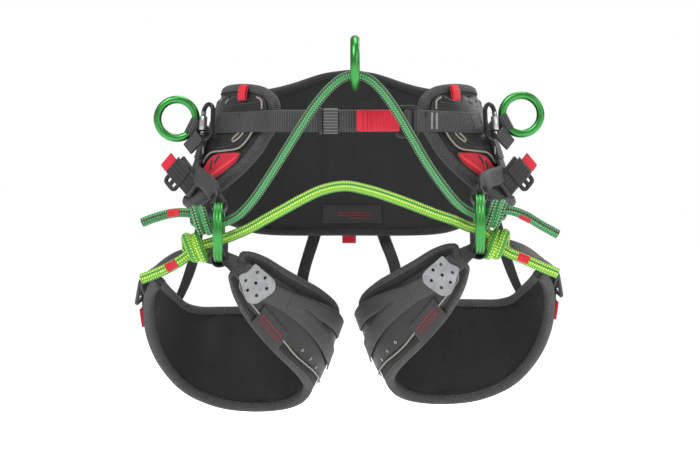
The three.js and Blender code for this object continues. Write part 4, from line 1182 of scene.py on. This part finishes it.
strap("front_strap_right_webbing", from_wing(-1) + [
    (vec(-50, -138, STRAP_Z), FORWARD), (vec(-10, -140, STRAP_Z), FORWARD), (vec(30, -140.3, STRAP_Z), FORWARD),
    (vec(54, -140.6, STRAP_Z), FORWARD), (vec(59.5, -143, STRAP_Z), vec(0.7, -0.7, 0)),
                                                    (vec(64, -147.2, STRAP_Z), vec(0.2, -1, 0)),
    (vec(68, -146, STRAP_Z), vec(0.8, -0.6, 0)), (vec(70.5, -141.6, STRAP_Z), vec(0.6, 0.8, 0)),
                                                    (vec(60, -138.6, STRAP_Z), -FORWARD),
], WEBBING, "waist", 25, 1.8, 150, ("front_strap_right",), slot="dark_webbing")
strap("front_strap_left_webbing", from_wing(1) + [
    (vec(84, -139.4, STRAP_Z), vec(0.15, -1, 0)), (vec(79, -144, STRAP_Z), vec(0.8, -0.6, 0)),
                                                  (vec(75.5, -146.9, STRAP_Z), vec(0, -1, 0)),
    (vec(72.6, -144, STRAP_Z), vec(-1, 0, 0)), (vec(76, -138.6, STRAP_Z), vec(-0.2, 1, 0)),
], WEBBING, "waist", 25, 1.8, 110, ("front_strap_left",), slot="dark_webbing")
strap_sewing = Shape()
for s in (-1, 1):
    for row in (-10.2, 10.2):
        on_wing(strap_sewing, s, [(d, STRAP_Z + 1 + row) for d in (113.5, 122, 130)], 16.2, pitch=2.6, length=1.8,
                width=0.6, height=0.5)
    for d in (113.5, 121.5, 130):
        on_wing(strap_sewing, s, [(d, STRAP_Z + 11), (d, STRAP_Z - 9)], 16.2, pitch=2.2, length=1.8, width=0.8,
                height=0.6)
strap_sewing.build("front_strap_stitching", THREAD, "waist", (), "dark_webbing")
white = Shape()
for x in (93, 98.5):
    bar_tack(white, vec(x, -134.2 + (x - 93) * 0.62, STRAP_Z + 0.5), vec(1, 0.3, 0), vec(0.3, -1, 0), 17, 2.4, 15)
white.build("front_strap_bar_tacks", WHITE_THREAD, "waist", (), "dark_webbing")


def sleeve_round_strap(name, x, wide, material, stands_for, grow, thickness, slot):
    """A band closed round the front strap, wide along it."""
    line = rounded_corners(5.2 + grow, 27.5 + grow, 2.2, 5)
    stations = [(vec(x, -139.9 + a, STRAP_Z + b), vec(0, a * 6, b)) for a, b, _ in line]
    strap(name, stations, material, "waist", wide, thickness, 64, stands_for, True, slot)


sleeve_round_strap("strap_keeper_loop", -31.6, 3.6, PLASTIC, ("strap_keeper",), 1.0, 1.6, "black_plastic")
sleeve_round_strap("strap_elastic_sleeve", -20.6, 17, SHINY, (), 0.2, 1.0, "dark_webbing")
buckle("front_buckle_frame", FRONT_BUCKLE, FORWARD, vec(1, 0, 0), (37, 27), 5.0, [(-0.5, 2.4)], "front_buckle",
       thickness=4.6)
folded("front_pull_tab_webbing", [(vec(55.6, -148.3, STRAP_Z), FORWARD), (vec(32, -148.5, STRAP_Z), FORWARD),
       (vec(9.6, -148.3, STRAP_Z), FORWARD)], 1.5, RED, "front_pull_tab", ("front_pull_tab",), 24, 1.1, "red_webbing")
tab_thread = Shape()
for x in (16, 20.5, 24.5):
    bar_tack(tab_thread, vec(x, -149.7, STRAP_Z), vec(1, 0, 0), FORWARD, 21, 1.3, 12)
tab_thread.build("front_pull_tab_stitching", RED_THREAD, "front_pull_tab", (), "red_webbing")

# ---------------------------------------------------------------- rings, their webbing, links and hip adjusters
RING_MIDDLE = 30.4  # from a front ring's centre to the middle of its section
SLEEVE_RADIUS = 8.4  # of the webbing round a front ring, from the middle of the section
OUTER_SLING_START = 44.9  # from a front ring's centre to where the two thicknesses of the outer leg webbing meet
SIDE_RING_RADIUS = 22.2  # to the middle of its wire


def round_front(centre, radius, degrees):
    """The place at an angle from the top towards the front of a ring about X."""
    b = math.radians(degrees)
    return centre + vec(0, -radius * math.sin(b), radius * math.cos(b))


def front_ring(name, centre, body):
    """A turned ring: a rounded bore, flat sides with broken edges, and three ridges round the outside."""
    flatter = 0.93  # the section's width, as a share of the one drawn here
    section = [(25.5, -3.6), (25.9, -5.0), (27.2, -6.0), (33.4, -6.0), (34.9, -5.2), (35.3, -4.0), (35.0, -2.7),
               (34.2, -2.0),
               (35.0, -1.3), (35.3, 0), (35.0, 1.3), (34.2, 2.0), (35.0, 2.7), (35.3, 4.0), (34.9, 5.2), (33.4, 6.0),
               (27.2, 6.0), (25.9, 5.0), (25.5, 3.6), (25.3, 0)]
    turn = np.linspace(0, 2 * math.pi, 120, endpoint=False)
    rings = np.array([[centre + vec(flatter * x, r * math.cos(a), r * math.sin(a)) for r,
                       x in section] for a in turn])
    Shape().add(rings, closed=True).build(name, GREEN, body, (body,), "green_anodised")


def side_ring(name, s, ring_z):
    centre = vec(s * 199, -47, ring_z)
    round_ring(f"{name}_side_ring_smooth", centre, SIDE_RING_RADIUS, 4.6, (1, 0, 0), (0, 0, 1), f"{name}_side_ring")
    a = math.radians(27)
    inward = vec(-s * math.cos(a), 0, -math.sin(a))
    wire = centre + inward * SIDE_RING_RADIUS
    face = vec(s * 0.3, -0.95, 0.05)
    run = [(wire + inward * 11 + vec(0, -1, -0.5), face), on_belt(s * 109.5, -17, 20.5), on_belt(s * 108, -30, 19),
           on_belt(s * 108, -43, 18.6)]
    sling(f"{name}_side_ring_webbing", wire, inward, np.cross(inward, (0, 1, 0)), 6.9, run, "waist",
          f"{name}_side_ring_loop", 19.5, 90)
    fold = [(vec(s * x, y, z + ring_z - 3), face) for x, y, z in ((173, -60, -18), (179, -57, -25), (185, -53, -31))]
    folded(f"{name}_side_ring_lower_fold", fold, 3.2, WEBBING, "waist", (), 15, 1.6, "dark_webbing", bow=0.6)
    tacks = Shape()
    for z in (-27.5, -33.5):
        bar_tack(tacks, belt(s * (111 - (z + 27) * 0.3), z, 20.6), vec(0, 0, 1), belt_out(s * 111, z), 2.2, 9.5, 2)
    tacks.build(f"{name}_side_ring_bar_tacks", WHITE_THREAD, "waist", (), "dark_webbing")


def quick_link(name, s):
    place, normal, up = vec(s * 162, -67, -1), vec(0.8 * s, -0.6, 0.1), vec(0.1 * s, 0, 1)
    r = 9.5
    half = 20 - r
    line = [(r * math.cos(a), half + r * math.sin(a), 0) for a in np.linspace(0, math.pi, 13)]
    line += [(-x, -y, 0) for x, y, _ in line]
    wire = smooth(line, 90, closed=True)
    Shape().add(seat(tube_rings(wire, 2.6, 18, closed=True), place, normal, up), closed=True).build(
        f"{name}_quick_link_wire", BLACK_STEEL, "waist", (f"{name}_quick_link",), "black_steel")
    ends = Shape()
    for y0, y1 in ((8.6, 12.2), (-14.2, -10.6)):
        ends.add(seat(tube_rings([(r * s, y, 0) for y in np.linspace(y0, y1, 9)],
                                 2.75 + 0.35 * np.abs(np.sin(np.linspace(0, 4 * math.pi, 9))), 16), place, normal,
                      up))
    ends.build(f"{name}_quick_link_thread", STEEL, "waist", (), "bare_steel")
    hexagon = []
    for y, size in ((-9, 3.7), (-9, 4.5), (-8.2, 5.0), (6.2, 5.0), (7, 4.5), (7, 3.7)):
        ring = []
        for k in range(6):
            for t in (-0.42, 0, 0.42):
                a = math.radians(60 * k + 60 * t)
                flat = size * (math.cos(math.radians(30)) / max(math.cos(math.radians(60 * abs(t))), 0.88))
                ring.append((r * s + flat * math.cos(a), y, flat * math.sin(a)))
        hexagon.append(ring)
    Shape().add(seat(np.array(hexagon), place, normal, up)).build(
        f"{name}_link_sleeve_nut", STEEL, f"{name}_link_sleeve", (f"{name}_link_sleeve",), "bare_steel")


def hip(name, s, centre):
    """The hip strap that holds the front ring, and the adjuster it leaves."""
    angle = -10
    wire = round_front(centre, RING_MIDDLE, angle)
    out = unit(round_front(centre, 1, angle) - centre)
    lift = vec(0, 0, centre[2] + 127)
    run = [(centre + vec(1.5 * s, 0, 42), vec(s, -0.15, 0)),
           (vec(s * 153.5, -108, -80) + lift, vec(0.62 * s, -0.78, 0)),
           (vec(s * 160.5, -92, -72.5) + lift * 0.7, vec(0.66 * s, -0.74, 0.1)),
           (belt(s * 114, -60, 20), vec(0.9 * s, -0.4, 0.1)),
           on_belt(s * 108, -47, 16.6), on_belt(s * 106, -33, 16.2), on_belt(s * 105, -14, 16.2)]
    sling(f"{name}_hip_webbing", wire, out, np.cross(out, (1, 0, 0)), SLEEVE_RADIUS, run, "waist",
          f"{name}_hip_strap", 21)
    down, face, cross = vec(-s * 0.577, -0.433, -0.693), vec(s * 0.529, -0.845, 0.088), vec(s * 0.624, 0.316, -0.717)

    def lie(t, w, h):
        return vec(s * 187, -42, -64.5) + down * t + cross * w + face * h

    folded(f"{name}_hip_adjuster_layers", [(lie(-21, 0, -0.5), face), (lie(-7, 0, 0.6), face), (lie(6, 0, 1.8), face),
           (lie(15, -1, 4.0), face)], 2.6, STRIPED, "waist", (f"{name}_hip_adjuster_webbing",), 26, 1.6,
           "dark_webbing",
           bow=0.6, steps=120)
    strap(f"{name}_hip_buckle_webbing", [(lie(-21.5, 0.5, 7.6), face - down), (lie(-19.5, 0.5, 9.6), face),
                                         (lie(-7, 0.5, 10), face),
          (lie(4, 0, 9.6), face)], STRIPED, f"{name}_hip_buckle", 24.5, 1.6, 50, slot="dark_webbing")
    strap(f"{name}_hip_roll_webbing", [(lie(1, -0.5, 7.4), face), (lie(6, -0.5, 9), face), (lie(12, -1, 9.6), face),
                                       (lie(18, -1, 9.4), face)],
          STRIPED, "waist", 24.5, 1.6, 40, slot="dark_webbing")
    roll = [lie(18, -1 + x, 4.6 - 0.015 * x * x) for x in np.linspace(-12, 12, 25)]
    Shape().add(tube_rings(roll, 5.0 - 0.4 * np.abs(np.sin(np.linspace(0, 6 * math.pi, 25))), 20)).build(
        f"{name}_hip_webbing_roll", STRIPED_ROUND, "waist", (), "dark_webbing")
    buckle(f"{name}_hip_buckle_frame", lie(-8, 5.8, 6.2), face, down, (36, 22), 4.4, [(0, 2.3)], f"{name}_hip_buckle")
    strap(f"{name}_hip_tab_tail", [(lie(-24, 3.9, 5.2), face), (lie(-18, 3.9, 3.5), face), (lie(-4, 3.9, 3.3), face),
          (lie(8, 3.9, 3.4), face)], STRIPED, f"{name}_hip_pull_tab", 17, 1.0, 40, slot="dark_webbing")
    folded(f"{name}_hip_pull_tab_webbing", [(lie(-33.2, 3.9, 6.0), face), (lie(-27.3, 3.9, 6.4), face),
                                            (lie(-21.6, 3.9, 6.0), face)],
           1.9, RED, f"{name}_hip_pull_tab", (f"{name}_hip_pull_tab",), 19.5, 1.3, "red_webbing", bow=0.2)


for name, s, ring_z, side_z in SIDES:
    centre = vec(s * 147, -112, ring_z)
    front_ring(f"{name}_front_ring_turned", centre, f"{name}_front_ring")
    side_ring(name, s, side_z)
    quick_link(name, s)
    hip(name, s, centre)


# ---------------------------------------------------------------- leg loops
LEG_LENGTH, LEG_WIDTH = 420, 110  # about the leg pad's own


def leg_line(side, points, h, count=24):
    """Stations through (u, v) points on the leg."""
    run = smooth([(u * LEG_LENGTH, 0, v * LEG_WIDTH) for u, v in points], count)
    return [side.on(x / LEG_LENGTH, z / LEG_WIDTH, h) for x, _, z in run]


def ring_plate(name, place, out, up, body, node):
    """The light plate over the leg strap, pierced with seven holes: drawn as a filled curve, then bowed."""
    curve = bpy.data.curves.new(name, "CURVE")
    curve.dimensions = "2D"
    curve.fill_mode = "BOTH"
    curve.extrude = 0.55 * MM
    curve.bevel_depth = 0.45 * MM
    curve.bevel_resolution = 2
    curve.resolution_u = 10
    outline = smooth([(-11, 21, 0), (-14, 12, 0), (-19, -9, 0), (-18.6, -14, 0), (-13, -20, 0), (0, -20.6, 0),
                      (13, -20, 0),
                       (18.6, -14, 0), (19, -9, 0), (14, 12, 0), (11, 21, 0), (0, 19.5, 0)], 72, closed=True)
    loops = [outline]
    turn = np.linspace(0, 2 * math.pi, 20, endpoint=False)
    for x, y in ((-8, 12), (8, 12), (-12, 0), (0, 2), (12, 0), (-7, -12), (7, -12)):
        loops.append(np.stack([x + 2.3 * np.cos(turn), y + 2.3 * np.sin(turn), 0 * turn], 1))
    for loop in loops:
        spline = curve.splines.new("POLY")
        spline.points.add(len(loop) - 1)
        spline.points.foreach_set("co", np.hstack([loop * MM, np.ones((len(loop), 1))]).ravel())
        spline.use_cyclic_u = True
    flat = bpy.data.objects.new(name, curve)
    bpy.context.scene.collection.objects.link(flat)
    mesh = bpy.data.meshes.new_from_object(flat.evaluated_get(bpy.context.evaluated_depsgraph_get()))
    bpy.data.objects.remove(flat)
    work = bmesh.new()
    work.from_mesh(mesh)
    bmesh.ops.triangulate(work, faces=work.faces)
    long_edges = [e for e in work.edges if e.calc_length() > 4 * MM]
    bmesh.ops.subdivide_edges(work, edges=long_edges, cuts=3)
    bmesh.ops.triangulate(work, faces=work.faces)
    points = np.array([v.co for v in work.verts]) / MM
    faces = [[v.index for v in f.verts] for f in work.faces]
    work.free()
    points[:, 2] += 0.8 - 2.0 * (points[:, 0] / 19) ** 2
    plate = build(name, seat(points, place, out, up), faces, PLATE, body, (node,), points[:, :2] * MM)
    plate.modifiers.new("edges", "EDGE_SPLIT").split_angle = math.radians(40)


def leg_loop(name, s, centre, lining):
    side = LegSide(s, centre[2])
    body = f"{name}_leg"
    pad(f"{name}_leg_padding", side.at, 110, 30, LEG_PAD, 110, lining, LINING, body, f"{name}_leg_pad",
        lambda u, v: 0.7 * max(line_weight(u * 10, v, [(x, 0), (x, 1)], 0.25) for x in (3.6, 6.2)), cap=3.5)
    ends = np.linspace(0.008, 0.992, 60)
    edge = [(u, 0.0) for u in ends] + [(0.998, v) for v in (0.3, 0.5, 0.7)]
    edge += [(u, 1.0) for u in ends[::-1]] + [(0.002, v) for v in (0.7, 0.5, 0.3)]
    outline = rim([side.at(u, v, 0) for u, v in edge], [side.out(u, v) for u, v in edge])
    edge_tape(f"{name}_leg_binding", outline, BINDING, body, 9, LEG_PAD, 300)
    thread = Shape()
    for v, h in ((0.085, -1.3), (0.915, -1.3), (0.085, LEG_PAD + 1.3), (0.915, LEG_PAD + 1.3)):
        line = [side.at(u, v, h) for u in np.linspace(0.03, 0.97, 70)]
        outs = [side.out(u, v) * (1 if h > 0 else -1) for u in np.linspace(0.03, 0.97, 70)]
        stitches(thread, line, outs, 3.4, 2.2, 0.7, 0.5)
    thread.build(f"{name}_leg_stitching", THREAD, body, (), "pad_lining")

    def shell(u, v, h):
        narrow = 0.16 * max(0.0, (u - 0.8) / 0.2) ** 2
        return side.at(lerp(0.56, 0.955, u), lerp(0.14 + narrow, 0.84 - narrow * 0.5, v), 10 + h)

    Shape().add(pad_rings(shell, 60, 18, 1.7, 80, 1.6)).build(f"{name}_leg_outer_shell", SHELL, body,
                                                                      (f"{name}_leg_shell",), "laminate")
    lower = [(0.955, 0.72), (0.943, 0.79), (0.9, 0.775), (0.87, 0.77), (0.777, 0.81), (0.727, 0.86), (0.66, 0.86),
             (0.58, 0.85)]
    tip = [(0.955, 0.72), (0.965, 0.5), (0.957, 0.28), (0.93, 0.2)]
    piping(f"{name}_leg_piping", leg_line(side, lower, 12.4, 60), body, 1.8, 1.4, 90)
    piping(f"{name}_leg_piping_tip", leg_line(side, tip, 12.4, 30), body, 1.8, 1.4, 40)
    eyelets = Shape()
    for u, v in ((0.717, 0.75), (0.683, 0.77), (0.65, 0.8)):
        p, n = side.on(u, v, 12.2)
        a = unit(np.cross(n, (0, 0, 1)))
        eyelets.add(tube_rings(circle(p, 1.6, a, np.cross(n, a), 20), 0.45, 8, closed=True), closed=True)
    eyelets.build(f"{name}_leg_eyelets", STEEL, body, (), "bare_steel")

    def label(u, v, h):
        top = lerp(vec(0.855, 0.60), vec(0.768, 0.68), u)
        low = lerp(vec(0.868, 1.0), vec(0.782, 1.03), u)
        at = lerp(top, low, v)
        return side.at(at[0], at[1], 12.4 + h - 1.6 * max(0.0, v - 0.75) * 4)

    Shape().add(pad_rings(label, 24, 14, 0.9, 32, 0.8)).build(f"{name}_leg_label", LABEL, body, (), "pad_lining")
    words = Shape()
    for v0, v1, t in ((0.25, 0.40, 1.5), (0.48, 0.52, 0.9), (0.58, 0.62, 0.8)):
        line = [label(lerp(0.12, 0.86, k), (v0 + v1) / 2, 1.3) for k in np.linspace(0, 1, 14)]
        stitches(words, line, side.out(0.81, 0.75), 1.6, 1.2, t, 0.4)
    words.build(f"{name}_leg_label_mark", RED_THREAD, body, (), "red_webbing")

    # from the front ring to the inner thigh
    angle = 195  # degrees round the ring from its top, towards the front
    wire = round_front(centre, RING_MIDDLE, angle)
    down = unit(round_front(centre, 1, angle) - centre)
    inward = unit(vec(-s, 0, 0) + down * 0.25)
    run = [(wire + inward * 11, vec(0, -0.45, 0.9)),
           (lerp(wire + inward * 14, side.at(0.965, 0.4, 21), 0.55), vec(-0.2 * s, -0.8, 0.6)),
           side.on(0.95, 0.42, 20.6), side.on(0.91, 0.42, 18.6), side.on(0.86, 0.4, 16.6), side.on(0.8, 0.34, 14.6)]
    sling(f"{name}_leg_webbing", wire, inward, np.cross(down, (1, 0, 0)), SLEEVE_RADIUS, run, body,
          f"{name}_leg_strap", 24)
    for k, way in enumerate(([(0.87, 0.44), (0.8, 0.32), (0.72, 0.24), (0.64, 0.2), (0.575, 0.2)],
                             [(0.87, 0.44), (0.8, 0.38), (0.72, 0.42), (0.64, 0.52), (0.575, 0.58)])):
        strap(f"{name}_leg_fan_webbing_{k + 1}", leg_line(side, way, 13.4 + 0.9 * (1 - k)), WEBBING, body, 20, 1.8,
              60, slot="dark_webbing")
    place, out = side.on(0.913, 0.44, 22)
    ring_plate(f"{name}_leg_ring_plate", place, out, centre - place, body, f"{name}_leg_plate")

    # from the front ring round the outside of the thigh
    angle = -125
    wire = round_front(centre, RING_MIDDLE, angle)
    back = unit(round_front(centre, 1, angle) - centre)
    drop = centre[2] + 127
    run = [(round_front(centre, OUTER_SLING_START, angle) + vec(2 * s, 0, 0), vec(s, 0, 0)),
           (vec(172 * s, -60, -150 + drop), vec(0.5 * s, -0.3, 0.5)),
           (vec(207 * s, -50, -160 + drop), vec(0.5 * s, -0.3, 0.7)), side.on(0.04, 0.4, 17), side.on(0.11, 0.4, 13)]
    sling(f"{name}_leg_outer_webbing", wire, back, np.cross(back, (1, 0, 0)), SLEEVE_RADIUS, run, body,
          f"{name}_leg_outer_strap", 25)
    up = vec(0, -0.6, 0.8)
    place, out = side.on(0.09, 0.45, 21)
    buckle(f"{name}_leg_buckle_frame", place, out, up, (34, 44), 5.0, [(6.2, 2.2), (-6.2, 2.2), (0, 3.4)],
           f"{name}_leg_buckle",
           dish=1.5)
    place, out = side.on(0.16, 0.6, 21)
    along_tab = unit(up - out * np.dot(up, out))
    folded(f"{name}_leg_pull_tab_webbing", [(place - along_tab * 12, out), (place, out),
                                            (place + along_tab * 12, out)], 1.9, RED,
           f"{name}_leg_pull_tab", (f"{name}_leg_pull_tab",), 22, 1.2, "red_webbing", bow=0.3)

    strap(f"{name}_leg_tab_tail", [(place + along_tab * x - out * y, out) for x,
                                   y in ((9, 0.2), (16, 2.2), (28, 3.4), (42, 3.6))],
          WEBBING, f"{name}_leg_pull_tab", 19, 1.0, 40, slot="dark_webbing")

    risers = {
        "outer": [on_belt(s * 60, -92, 14.2), on_belt(s * 60, -112, 14.2),
                  (vec(s * 190, 76, -170 + drop), vec(0.6 * s, 0.8, 0.2)),
                  side.on(0.17, 0.06, 11.4), side.on(0.17, 0.3, 11.2)],
        "inner": [on_belt(s * 10.5, -112, 15.6), on_belt(s * 11.5, -132, 15.6),
                  (vec(s * 57, 122, -185 + drop), vec(0.2 * s, 0.97, 0.2)),
                  side.on(0.465, 0.08, 11.4), side.on(0.465, 0.32, 11.2)],
    }
    for which, stations in risers.items():
        band = strap(f"{name}_{which}_riser_elastic", stations, ELASTIC, None, 15, 1.6, 90,
                     (f"{name}_{which}_riser",), slot="elastic")
        metres(stations[1][0])
        metres(stations[3][0])
        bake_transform(band)


for name, s, ring_z, _ in SIDES:
    leg_loop(name, s, vec(s * 147, -112, ring_z), LINING if name == "right" else VELVET)

# ---------------------------------------------------------------- floor and light
FLOOR = -0.40


def floor():
    """A wide pale floor, round, so that it looks alike from every side."""
    paper = Material("backdrop_paper", (0.92, 0.92, 0.92), roughness=0.85)
    paper.rough(paper.between(paper.noise(6, 3), 0.8, 0.9))
    paper.shader.inputs["Emission Color"].default_value = (1, 1, 1, 1)
    paper.shader.inputs["Emission Strength"].default_value = 0.64
    n = 64
    turn = np.linspace(0, 2 * math.pi, n, endpoint=False)
    rings = [[(r * math.cos(a), r * math.sin(a), FLOOR) for a in turn] for r in (2, 8, 40)]
    faces = [tuple(range(n))]
    faces += [(i * n + j, (i + 1) * n + j, (i + 1) * n + (j + 1) % n,
               i * n + (j + 1) % n) for i in range(2) for j in range(n)]
    mesh = bpy.data.meshes.new("floor")
    mesh.from_pydata([p for ring in rings for p in ring], [], faces)
    mesh.materials.append(paper.material)
    obj = bpy.data.objects.new("floor", mesh)
    bpy.context.scene.collection.objects.link(obj)


def area_light(name, place, size, power, target=(0, 0, -0.13)):
    data = bpy.data.lights.new(name, "AREA")
    data.shape, data.size, data.energy = "SQUARE", size, power
    lamp = bpy.data.objects.new(name, data)
    bpy.context.scene.collection.objects.link(lamp)
    lamp.location = place
    direction = np.array(place) - np.array(target)
    lamp.rotation_euler = (math.acos(direction[2] / np.linalg.norm(direction)), 0,
                           math.atan2(direction[0], -direction[1]))


floor()
area_light("key", (-1.3, -1.6, 2.2), 1.3, 52)
area_light("fill", (2.2, -2.0, 1.2), 1.6, 22)
area_light("top", (0.2, 0.6, 2.5), 1.2, 34)
area_light("rim", (1.8, 1.6, 1.0), 1.0, 16)
world = bpy.data.worlds.new("world")
bpy.context.scene.world = world
world.use_nodes = True
sky = world.node_tree.nodes["Background"]
sky.inputs["Color"].default_value = (1, 1, 1, 1)
seen = world.node_tree.nodes.new("ShaderNodeLightPath")
level = world.node_tree.nodes.new("ShaderNodeMapRange")  # white where it is seen, softer as light
level.inputs["To Min"].default_value = 0.42
level.inputs["To Max"].default_value = 1.0
world.node_tree.links.new(seen.outputs["Is Camera Ray"], level.inputs["Value"])
world.node_tree.links.new(level.outputs["Result"], sky.inputs["Strength"])
bpy.context.scene.view_settings.view_transform = "Standard"
